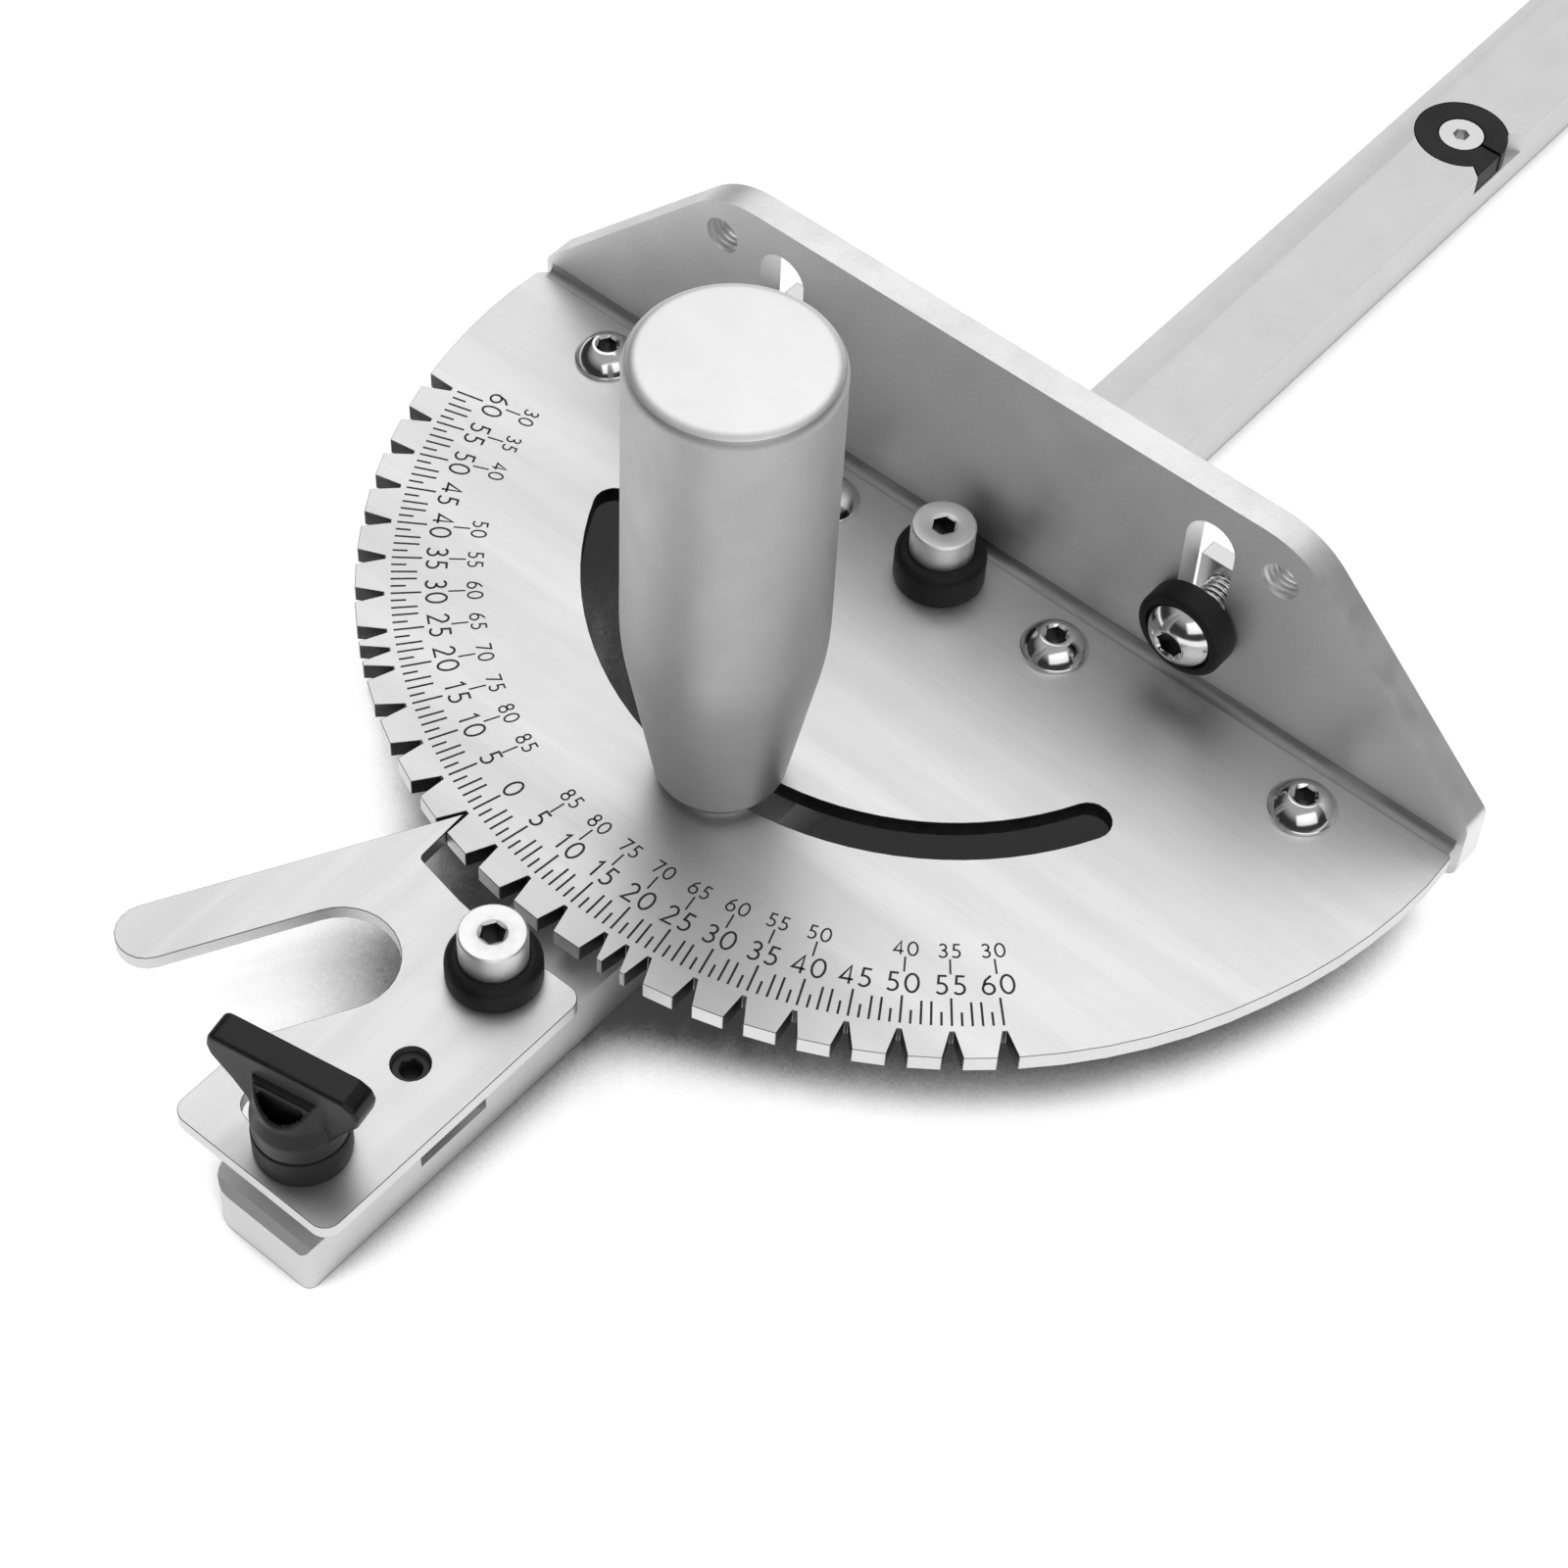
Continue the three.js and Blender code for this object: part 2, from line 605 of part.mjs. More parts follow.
function protractorPlate() {
  const chamferY = PLATE_STRAIGHT_EDGE - PLATE_END_CHAMFER;
  const endDeg = 90 + THREE.MathUtils.radToDeg(Math.asin(chamferY / RIM_END_RADIUS));
  const [endX] = polar(RIM_END_RADIUS, endDeg);
  const outline = polygon([
    ...notchedRim(-endDeg, endDeg),
    [endX - PLATE_END_CHAMFER, PLATE_STRAIGHT_EDGE],
    [-endX + PLATE_END_CHAMFER, PLATE_STRAIGHT_EDGE],
  ]);
  const low = PLATE_BOTTOM - CUT_OVERRUN;
  const high = PLATE_TOP + CUT_OVERRUN;
  const slot = curvedSlot(SLOT_RADIUS, SLOT_HALF_WIDTH, -SLOT_END_DEG, SLOT_END_DEG, 36);
  return cut(
    slab(outline, PLATE_BOTTOM, PLATE_TOP),
    slab(slot, low, high),
    rod(PIVOT_BUSHING_RADIUS + RADIAL_GAP, low, high),
    ...PLATE_SCREWS_X.map((x) => rod(M6_CLEARANCE, low, high, x, 0, SMALL)),
  );
}

// A tool along Y for the fence's upright, from an outline in X and Z.
function throughFence(shape) {
  const depth = FENCE_THICKNESS + 2 * CUT_OVERRUN;
  const geometry = new THREE.ExtrudeGeometry(shape, {
    depth,
    bevelEnabled: false,
    curveSegments: SMALL,
  });
  geometry.rotateX(Math.PI / 2);
  return solid(geometry.translate(0, FENCE_BACK + CUT_OVERRUN, 0));
}

function fenceUpright() {
  const outline = roundedPolygon([
    [FENCE_LEFT.end, FENCE_BOTTOM, FENCE_LOWER_RADIUS],
    [FENCE_RIGHT.end, FENCE_BOTTOM, FENCE_LOWER_RADIUS],
    [FENCE_RIGHT.end, FENCE_RIGHT.footZ, FENCE_LOWER_RADIUS],
    [FENCE_RIGHT.shoulder, FENCE_TOP, FENCE_SHOULDER_RADIUS],
    [FENCE_LEFT.shoulder, FENCE_TOP, FENCE_SHOULDER_RADIUS],
    [FENCE_LEFT.end, FENCE_LEFT.footZ, FENCE_LOWER_RADIUS],
  ], 8);
  const geometry = new THREE.ExtrudeGeometry(outline, {
    depth: FENCE_THICKNESS,
    bevelEnabled: false,
  });
  geometry.rotateX(Math.PI / 2);
  return solid(geometry.translate(0, FENCE_BACK, 0));
}

function fenceSlot(x) {
  const shape = new THREE.Shape();
  shape.absarc(x, FENCE_SLOT_HIGH, FENCE_SLOT_HALF_WIDTH, 0, Math.PI, false);
  shape.absarc(x, FENCE_SLOT_LOW, FENCE_SLOT_HALF_WIDTH, Math.PI, 2 * Math.PI, false);
  return throughFence(shape);
}

function fenceThread(x) {
  const shape = new THREE.Shape();
  shape.absarc(x, FENCE_THREAD_Z, FENCE_THREAD_RADIUS, 0, 2 * Math.PI, false);
  return throughFence(shape);
}

// The flange lies under the protractor plate and ends inside its rim.
function fenceFlange() {
  const low = FENCE_BOTTOM;
  const strip = box(-RIM_RADIUS, RIM_RADIUS, FLANGE_FRONT, FENCE_FRONT + CUT_OVERRUN, low,
    PLATE_BOTTOM);
  const disc = rod(FLANGE_RADIUS, low - CUT_OVERRUN, PLATE_TOP, 0, 0, 2 * FINE);
  return strip.intersect(disc);
}

function fence() {
  const low = FENCE_BOTTOM - CUT_OVERRUN;
  return cut(
    join(fenceUpright(), fenceFlange()),
    fenceSlot(-FENCE_SLOT_X),
    fenceSlot(FENCE_SLOT_X),
    fenceThread(-FENCE_THREAD_X),
    fenceThread(FENCE_THREAD_X),
    rod(PIVOT_BUSHING_RADIUS + RADIAL_GAP, low, PLATE_TOP),
    ...PLATE_SCREWS_X.map((x) => rod(M6_TAP, low, PLATE_TOP, x, 0, SMALL)),
  );
}

function head() {
  const shankLength = PLATE_TOP - FENCE_BOTTOM - BOLT_GAP;
  return group(
    part('protractor_plate', 'brushed', protractorPlate()),
    part('fence', 'anodised', fence()),
    ...PLATE_SCREWS_X.map((x, i) =>
      part(`plate_screw_${i + 1}`, 'steel', buttonScrew(shankLength), x, 0, PLATE_TOP)),
  );
}

// A bolt, its black cap and its square nut, on an axis that points to -Y.
function fenceBolt(side, x) {
  const face = FENCE_FRONT - BOLT_GAP;
  const seat = BOLT_CAP_FLOOR;
  const shankLength = BOLT_END_Y - face + seat;
  const edge = 0.5;
  const cap = turned([
    [M6_CLEARANCE, 0],
    [BOLT_CAP_RADIUS - edge, 0],
    [BOLT_CAP_RADIUS, edge],
    [BOLT_CAP_RADIUS, BOLT_CAP_LENGTH - edge],
    [BOLT_CAP_RADIUS - edge, BOLT_CAP_LENGTH],
    [BOLT_CAP_POCKET, BOLT_CAP_LENGTH],
    [BOLT_CAP_POCKET, seat],
    [M6_CLEARANCE, seat],
    [M6_CLEARANCE, 0],
  ]);
  const half = BOLT_NUT_SIDE / 2;
  const nutFar = face - FENCE_BACK - BOLT_NUT_STANDOFF;
  const nut = cut(
    box(-half, half, -half, half, nutFar - BOLT_NUT_THICKNESS, nutFar),
    rod(M6_TAP, nutFar - BOLT_NUT_THICKNESS - CUT_OVERRUN, nutFar + CUT_OVERRUN, 0, 0, ROUND),
  );
  const set = group(
    part(`fence_bolt_${side}`, 'steel', buttonScrew(shankLength, BOLT_HEAD_RADIUS), 0, 0, seat),
    part(`fence_cap_${side}`, 'black', cap),
    part(`fence_nut_${side}`, 'steel', nut),
  );
  set.position.set(x, face, BOLT_Z);
  set.rotation.x = Math.PI / 2;
  return set;
}

// ---- Stop lever ---------------------------------------------------------------------------

// The lever's outline, anticlockwise from the tooth's tip.
function leverOutline() {
  const along = [Math.sin(radians(FINGER_DEG)), Math.cos(radians(FINGER_DEG))];
  const [tipX, tipY] = FINGER_TIP;
  const [gapX, gapY] = GAP_CENTRE;
  const back = 180 - FINGER_DEG;
  const fingerEnd = arc(FINGER_RADIUS, back - 270, back - 90, 10, tipX, tipY);
  const gapEnd = arc(GAP_RADIUS, back + 90, back - 90, 16, gapX, gapY);
  const [mouthX, mouthY] = gapEnd.at(-1);
  const toLeft = (mouthX - LEVER_LEFT) / along[0];
  const frontFrom = THREE.MathUtils.radToDeg(Math.asin(-12 / LEVER_FRONT_RADIUS));
  const front = arc(LEVER_FRONT_RADIUS, 4, frontFrom, 5);
  return roundedPolygon([
    polar(TOOTH_TIP_RADIUS, SCALE_ZERO_DEG),
    ...fingerEnd,
    ...gapEnd,
    [LEVER_LEFT, mouthY - toLeft * along[1], LEVER_CORNER],
    [LEVER_LEFT, LEVER_NEAR, LEVER_CORNER],
    [LEVER_RIGHT, LEVER_NEAR, LEVER_CORNER],
    [LEVER_RIGHT, front[0][1], LEVER_CORNER],
    ...front,
    [TOOTH_ROOT[0], -LEVER_FRONT_RADIUS * Math.cos(Math.asin(TOOTH_ROOT[0] / LEVER_FRONT_RADIUS)),
      FINGER_RADIUS / 5],
  ]);
}

function leverPlate() {
  const low = LEVER_BOTTOM - CUT_OVERRUN;
  const high = PLATE_TOP + CUT_OVERRUN;
  const lockSlot = curvedSlot(LEVER_PIVOT_Y - KNOB_Y, KNOB_SLOT_HALF_WIDTH, -KNOB_SLOT_TRAVEL_DEG,
    KNOB_SLOT_SPARE_DEG, 8, 0, LEVER_PIVOT_Y);
  return cut(
    slab(leverOutline(), LEVER_BOTTOM, PLATE_TOP),
    slab(lockSlot, low, high),
    rod(LEVER_BUSHING_RADIUS + RADIAL_GAP, low, high, 0, LEVER_PIVOT_Y),
    rod(PEG_RADIUS + RADIAL_GAP, low, high, ...PEG_CENTRE, SMALL),
  );
}

// A set screw in the lever whose lower end the leaf spring presses on.
function springPeg() {
  return cut(
    rod(PEG_RADIUS, PEG_BOTTOM, PEG_TOP, 0, 0, SMALL),
    hexagon(PEG_SOCKET_FLATS, PEG_TOP - PEG_SOCKET_DEPTH, PEG_TOP + CUT_OVERRUN),
  );
}

function lever() {
  return group(
    part('lever_plate', 'brushed', leverPlate()),
    part('spring_peg', 'black', springPeg(), ...PEG_CENTRE, 0),
  );
}

// ---- Hand parts ---------------------------------------------------------------------------

function handleGrip() {
  const bore = M6_CLEARANCE;
  const profile = [
    [bore, HANDLE_BOTTOM],
    [HANDLE_FOOT_RADIUS - HANDLE_FOOT_EDGE, HANDLE_BOTTOM],
    [HANDLE_FOOT_RADIUS, HANDLE_BOTTOM + HANDLE_FOOT_EDGE],
    [HANDLE_RADIUS, HANDLE_TAPER_TOP],
    [HANDLE_RADIUS, HANDLE_TOP - HANDLE_TOP_EDGE],
    [HANDLE_RADIUS - 0.3 * HANDLE_TOP_EDGE, HANDLE_TOP - 0.3 * HANDLE_TOP_EDGE],
    [HANDLE_RADIUS - HANDLE_TOP_EDGE, HANDLE_TOP],
    [0, HANDLE_TOP],
    [0, HANDLE_BORE_TOP],
    [bore, HANDLE_BORE_TOP],
    [bore, HANDLE_BOTTOM],
  ];
  return turned(profile, FINE);
}

// The wing, from an outline in X and Z, centred on Y.
function knobWing() {
  const shape = roundedPolygon([
    [-KNOB_BODY_RADIUS + 1, KNOB_COLLAR_TOP + 3, 0],
    [KNOB_BODY_RADIUS - 1, KNOB_COLLAR_TOP + 3, 0],
    [KNOB_WING_HALF, KNOB_TOP - 4, 1.5],
    [KNOB_WING_HALF, KNOB_TOP, 2],
    [-KNOB_WING_LONG_HALF, KNOB_TOP, 2],
    [-KNOB_WING_LONG_HALF, KNOB_TOP - 4, 1.5],
  ]);
  const geometry = new THREE.ExtrudeGeometry(shape, {
    depth: KNOB_WING_THICKNESS,
    bevelEnabled: false,
  });
  geometry.rotateX(Math.PI / 2);
  return solid(geometry.translate(0, KNOB_WING_THICKNESS / 2, 0));
}

function wingKnob() {
  const bottom = KNOB_COLLAR_TOP + SLIDE_GAP;
  const body = turned([
    [0, bottom],
    [KNOB_BODY_RADIUS, bottom],
    [KNOB_BODY_RADIUS, bottom + 4],
    [KNOB_WAIST_RADIUS, KNOB_WAIST_Z],
    [KNOB_WING_THICKNESS / 2, KNOB_TOP - 2],
    [0, KNOB_TOP - 2],
  ]);
  const cavity = rod(KNOB_INSERT_RADIUS + RADIAL_GAP, bottom - CUT_OVERRUN,
    KNOB_INSERT_TOP + SLIDE_GAP);
  return cut(join(body, knobWing()), cavity);
}

function knob() {
  const bottom = KNOB_COLLAR_TOP + 2 * SLIDE_GAP;
  const set = group(
    part('wing_knob', 'black', wingKnob()),
    part('knob_insert', 'brass', sleeve(KNOB_INSERT_RADIUS, M6_CLEARANCE, bottom, KNOB_INSERT_TOP)),
  );
  set.position.y = KNOB_Y;
  set.rotation.z = radians(KNOB_WING_TURN_DEG);
  return set;
}

// ---- The whole gauge ----------------------------------------------------------------------

const gauge = group(
  bar(),
  head(),
  fenceBolt('left', -FENCE_SLOT_X),
  fenceBolt('right', FENCE_SLOT_X),
  lever(),
  knob(),
  part('handle_grip', 'anodised', handleGrip(), 0, -SLOT_RADIUS, 0),
);

export default gauge;
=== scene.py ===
# Looks of a table-saw mitre gauge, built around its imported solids. The scene is in metres with
# +Z up, the head's pivot at X = Y = 0 and the fence towards +Y. Sizes below are in millimetres.

import math

import bmesh
import bpy
from mathutils import Matrix, Vector

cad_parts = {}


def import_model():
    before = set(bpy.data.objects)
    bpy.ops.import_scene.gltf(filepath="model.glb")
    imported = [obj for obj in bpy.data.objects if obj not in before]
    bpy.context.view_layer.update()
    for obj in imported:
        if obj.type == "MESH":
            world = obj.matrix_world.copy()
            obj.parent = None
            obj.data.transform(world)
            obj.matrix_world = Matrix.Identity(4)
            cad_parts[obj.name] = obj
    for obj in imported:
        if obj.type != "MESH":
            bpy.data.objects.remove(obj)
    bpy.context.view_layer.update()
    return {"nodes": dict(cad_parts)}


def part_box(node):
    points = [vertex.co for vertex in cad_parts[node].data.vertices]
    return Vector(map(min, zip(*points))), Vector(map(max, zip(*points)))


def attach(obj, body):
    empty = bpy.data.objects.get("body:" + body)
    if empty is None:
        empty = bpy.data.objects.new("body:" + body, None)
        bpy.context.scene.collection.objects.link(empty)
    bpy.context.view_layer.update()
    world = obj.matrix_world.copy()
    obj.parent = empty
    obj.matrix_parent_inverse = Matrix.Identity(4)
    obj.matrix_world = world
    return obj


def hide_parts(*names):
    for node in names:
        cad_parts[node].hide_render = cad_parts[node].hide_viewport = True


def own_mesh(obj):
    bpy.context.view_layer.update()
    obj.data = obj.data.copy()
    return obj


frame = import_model()

MM = 0.001

# ---- Sizes that the solids don't carry, in millimetres ---------------------------------------

PLATE_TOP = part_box("protractor_plate")[1].z / MM
SCALE_ZERO_DEG = -15.1
SCALE_LAST = 60
TICK_OUTER = 83.5
TICK_LONG = 4.65
TICK_MEDIUM = 4.0
TICK_SHORT = 2.3
TICK_WIDTH = 0.35
OUTER_DIGIT_RADIUS = 76.6
OUTER_DIGIT_HEIGHT = 3.3
OUTER_DIGIT_STROKE = 0.37
INNER_DIGIT_RADIUS = 70.75
INNER_DIGIT_HEIGHT = 2.4
INNER_DIGIT_STROKE = 0.29
INNER_TICK_IN = 72.2
INNER_TICK_OUT = 74.8
INNER_TICK_WIDTH = 0.28
INK_RISE = 0.012
INK_DEPTH = 0.01
GAP_BETWEEN_FIGURES = 0.2    # of a figure's height

NOTCH_INSIDE = 83            # radii that bound the stop notches' walls
NOTCH_ROOT_OUTSIDE = 88.3
RIM_OUTSIDE = 89.8
FACES_OUTWARD = 0.985        # a wall that looks further out than this belongs to the rim itself
ARC_SLOT_INSIDE = 47
ARC_SLOT_OUTSIDE = 56

BORE_RADIUS = 3.1            # M6 clearance in collars, caps and handle
SHANK_RADIUS = 2.9
CAP_HEAD_HEIGHT = 6.0
CAP_HEAD_RADIUS = 5.0
CAP_FLATS = 3.3
BUTTON_HEAD_HEIGHT = 3.3
BUTTON_HEAD_RADIUS = 5.2
BUTTON_DOME_RADIUS = 5.59
BUTTON_DOME_SINK = 1.75
FENCE_BOLT_WIDEN = 1.1
FENCE_BOLT_FLATS = 3.8
THREAD_PITCH = 1.0
THREAD_DEPTH = 0.5
THREAD_RADIUS = 2.92
FENCE_CAP_FLOOR = 3.4
FENCE_CAP_POCKET = 5.82
COLLAR_POCKET = 0.9
COLLAR_POCKET_RADIUS = 5.12

HANDLE_FOOT_RADIUS = 9.7
HANDLE_FOOT_ROUND = 1.3
HANDLE_SHOULDER_HEIGHT = 47
HANDLE_SHOULDER_ROUND = 60.0
HANDLE_TOP_ROUND = 2.2
HANDLE_BORE_DEPTH = 40
FILLET_STEPS = 10
HANDLE_FACETS = 144

WING_HALF = 11.4
WING_EXTRA_LEFT = 1.1
WING_THICK = 4.8
WING_TURN_DEG = 11
SCOOP_RADIUS = 5.3
SCOOP_HEIGHT = 9.0
RIB_HEIGHT = 9.6
MOULDING_VOXEL = 0.2

ROOT_FILLET = 1.8
FENCE_HOLE_X = 52.3
FENCE_HOLE_Z = 46.7
FENCE_FACE_Y = 8.8
FENCE_BACK_Y = 13.8

# ---- Stage, in metres ------------------------------------------------------------------------

FLOOR_HALF = 30.0
FLOOR_GAP = 0.0002
CONTACT_SHADOW_REACH = 0.035
CAMERA_AT = (0.20494, -0.30466, 0.43141)
CAMERA_AIM = (0.00118, -0.03719, 0.0)
CAMERA_ROLL_DEG = 3.604
LENS_MM = 82.97


# ---- Materials -------------------------------------------------------------------------------

def new_material(name, color, metallic, roughness):
    material = bpy.data.materials.new(name)
    material.use_nodes = True
    shader = material.node_tree.nodes["Principled BSDF"]
    shader.inputs["Base Color"].default_value = (*color, 1)
    shader.inputs["Metallic"].default_value = metallic
    shader.inputs["Roughness"].default_value = roughness
    return material, material.node_tree, shader


def add_node(tree, kind, **values):
    node = tree.nodes.new(kind)
    for key, value in values.items():
        setattr(node, key, value)
    return node


def noise(tree, scale, stretch=(1, 1, 1), detail=4.0, rough=0.55):
    """3-D noise in the piece's own metres; stretch above 1 makes it finer along that axis."""
    coords = add_node(tree, "ShaderNodeTexCoord")
    mapping = add_node(tree, "ShaderNodeMapping")
    mapping.inputs["Scale"].default_value = stretch
    texture = add_node(tree, "ShaderNodeTexNoise")
    texture.inputs["Scale"].default_value = scale
    texture.inputs["Detail"].default_value = detail
    texture.inputs["Roughness"].default_value = rough
    tree.links.new(coords.outputs["Object"], mapping.inputs["Vector"])
    tree.links.new(mapping.outputs["Vector"], texture.inputs["Vector"])
    return texture.outputs["Fac"]


def spread(tree, value, low, high, from_low=0.3, from_high=0.7):
    node = add_node(tree, "ShaderNodeMapRange")
    node.inputs["From Min"].default_value = from_low
    node.inputs["From Max"].default_value = from_high
    node.inputs["To Min"].default_value = low
    node.inputs["To Max"].default_value = high
    tree.links.new(value, node.inputs["Value"])
    return node.outputs["Result"]


def tint(tree, value, dark, light):
    ramp = add_node(tree, "ShaderNodeValToRGB")
    ramp.color_ramp.elements[0].position = 0.3
    ramp.color_ramp.elements[0].color = (*dark, 1)
    ramp.color_ramp.elements[1].position = 0.7
    ramp.color_ramp.elements[1].color = (*light, 1)
    tree.links.new(value, ramp.inputs["Fac"])
    return ramp.outputs["Color"]


def bump(tree, shader, height, strength, distance):
    node = add_node(tree, "ShaderNodeBump")
    node.inputs["Strength"].default_value = strength
    node.inputs["Distance"].default_value = distance
    tree.links.new(height, node.inputs["Height"])
    tree.links.new(node.outputs["Normal"], shader.inputs["Normal"])


def grey(value):
    return (value, value, value)


def metal(name, tone, roughness, variation=0.04, grain=9000.0, grain_strength=0.25,
          cloud=25.0, stretch=(1, 1, 1), speckle=0.0, scratches=0.0, uneven=0.12):
    """Bare or anodised metal: soft clouds of tone and gloss over a fine grain."""
    material, tree, shader = new_material(name, grey(tone), 1.0, roughness)
    clouds = noise(tree, cloud, detail=3.0)
    if speckle:
        blend = add_node(tree, "ShaderNodeMath", operation="MULTIPLY_ADD")
        blend.inputs[1].default_value = speckle
        tree.links.new(noise(tree, 1700.0, detail=1.0), blend.inputs[0])
        tree.links.new(clouds, blend.inputs[2])
        clouds = blend.outputs["Value"]
    color = tint(tree, clouds, grey(tone * (1 - variation)), grey(min(1.0, tone * (1 + variation))))
    if scratches:
        mix = add_node(tree, "ShaderNodeMixRGB", blend_type="MULTIPLY")
        mix.inputs["Fac"].default_value = 1.0
        lines = noise(tree, 900.0, stretch, detail=5.0, rough=0.7)
        tree.links.new(color, mix.inputs["Color1"])
        tree.links.new(tint(tree, lines, grey(1 - scratches), grey(1.0)), mix.inputs["Color2"])
        color = mix.outputs["Color"]
    tree.links.new(color, shader.inputs["Base Color"])
    gloss = noise(tree, cloud * 6, stretch, detail=6.0, rough=0.65)
    tree.links.new(spread(tree, gloss, roughness * (1 - uneven), roughness * (1 + uneven)),
                   shader.inputs["Roughness"])
    bump(tree, shader, noise(tree, grain, stretch, detail=2.0), grain_strength, 0.00002)
    return material


def plastic(name, tone, roughness, grain=7000.0, shine=0.3):
    material, tree, shader = new_material(name, grey(tone), 0.0, roughness)
    shader.inputs["Specular IOR Level"].default_value = shine
    clouds = noise(tree, 180.0, detail=3.0)
    tree.links.new(tint(tree, clouds, grey(tone * 0.75), grey(tone * 1.3)),
                   shader.inputs["Base Color"])
    tree.links.new(spread(tree, clouds, roughness * 0.85, roughness * 1.15),
                   shader.inputs["Roughness"])
    bump(tree, shader, noise(tree, grain, detail=2.0), 0.3, 0.00003)
    return material


LOOKS = {
    "bar": metal("bar_satin", 0.72, 0.56, variation=0.015, speckle=0.12, uneven=0.05),
    "handle": metal("handle_satin", 0.52, 0.54, variation=0.05, grain=3000.0, grain_strength=0.35,
                    speckle=0.16),
    # Painted highlight: the handle's top is given a lighter tone than its side.
    "handle_top": metal("handle_top_painted_highlight", 0.88, 0.5, variation=0.01, grain=6000.0, uneven=0.04),
    "fence": metal("fence_blasted", 0.80, 0.50, variation=0.08, grain=2400.0, grain_strength=0.8,
                   speckle=0.35),
    "plate": metal("plate_brushed", 0.76, 0.44, variation=0.05, grain=2600.0,
                   grain_strength=0.16, cloud=22.0, stretch=(0.05, 1, 1), scratches=0.045),
    "lever": metal("lever_brushed", 0.72, 0.40, variation=0.04, grain=2600.0,
                   grain_strength=0.16, cloud=30.0, stretch=(1, 0.06, 1), scratches=0.05),
    "screw": metal("screw_polished", 0.80, 0.14, variation=0.03, grain=4000.0,
                   grain_strength=0.06, cloud=90.0),
    "head": metal("head_turned", 0.92, 0.42, variation=0.02, grain=6000.0,
                  grain_strength=0.05, cloud=120.0),
    # Painted shade: screw sockets are given a dark tone that stands for the shade in the recess.
    "socket": metal("socket_painted_shade", 0.16, 0.25, variation=0.2, grain=3000.0, cloud=300.0),
    # Painted shade: the fillet at the fence's foot is darker than the fence, for the shade in that
    # corner.
    "root": metal("fence_root_painted_shade", 0.46, 0.5, variation=0.05, grain=5000.0),
    # Painted shade: near black on the walls of the stop notches and the arc slot, for the shade in
    # these hollows.
    "cut": metal("cutout_wall_painted_shade", 0.06, 0.5, variation=0.3, grain=1500.0,
                 grain_strength=0.5, cloud=400.0, stretch=(3, 3, 0.3)),
    "washer": metal("washer_plain", 0.62, 0.3),
    # Painted dark line: the rounded plate and lever edges get a dark tone that stands for a sharp
    # chamfer's dark reflection.
    "edge": metal("edge_painted_dark_line", 0.24, 0.16, variation=0.06, grain_strength=0.05),
    "brass": metal("brass_turned", 0.5, 0.3),
    "collar": plastic("collar_black", 0.008, 0.5),
    "knob": plastic("knob_black", 0.008, 0.36, grain=5000.0),
    "ink": plastic("scale_ink", 0.035, 0.6),
    "peg": plastic("peg_oxide", 0.03, 0.35),
}
LOOKS["brass"].node_tree.nodes["Principled BSDF"].inputs["Base Color"].default_value = (
    0.55, 0.40, 0.18, 1)


# ---- Mesh helpers ----------------------------------------------------------------------------

def new_object(name, bm, look, sharp_deg=35):
    mesh = bpy.data.meshes.new(name)
    bmesh.ops.recalc_face_normals(bm, faces=bm.faces)
    bm.to_mesh(mesh)
    bm.free()
    for polygon in mesh.polygons:
        polygon.use_smooth = True
    mesh.set_sharp_from_angle(angle=math.radians(sharp_deg))
    obj = bpy.data.objects.new(name, mesh)
    bpy.context.scene.collection.objects.link(obj)
    obj.data.materials.append(LOOKS[look])
    return obj


def settle(obj, body, slot, *nodes):
    """Puts a finished piece on its body, in place of its solids. Its slot argument is not used."""
    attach(obj, body)
    if nodes:
        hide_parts(*nodes)
    return obj


def apply_modifiers(obj):
    depsgraph = bpy.context.evaluated_depsgraph_get()
    obj.data = bpy.data.meshes.new_from_object(obj.evaluated_get(depsgraph))
    obj.modifiers.clear()


def soften(obj, width, segments=3, angle=35, material=-1):
    """Rounds the sharp edges of a piece."""
    modifier = obj.modifiers.new("edge", "BEVEL")
    modifier.material = material
    modifier.width = width * MM
    modifier.segments = segments
    modifier.limit_method = "ANGLE"
    modifier.angle_limit = math.radians(angle)
    modifier.harden_normals = True
    modifier.use_clamp_overlap = True


def in_plate_cutout(centre, normal):
    """True on the walls of the stop notches and of the arc slot, which take the painted-shade look.
    """
    out = Vector((centre.x, centre.y, 0))
    if abs(normal.z) > 0.5 or centre.y > 0:
        return False
    outward = abs(normal.dot(out.normalized()))
    notch_root = NOTCH_INSIDE < out.length < NOTCH_ROOT_OUTSIDE
    notch_side = NOTCH_INSIDE < out.length < RIM_OUTSIDE and outward < FACES_OUTWARD
    return notch_root or notch_side or ARC_SLOT_INSIDE < out.length < ARC_SLOT_OUTSIDE


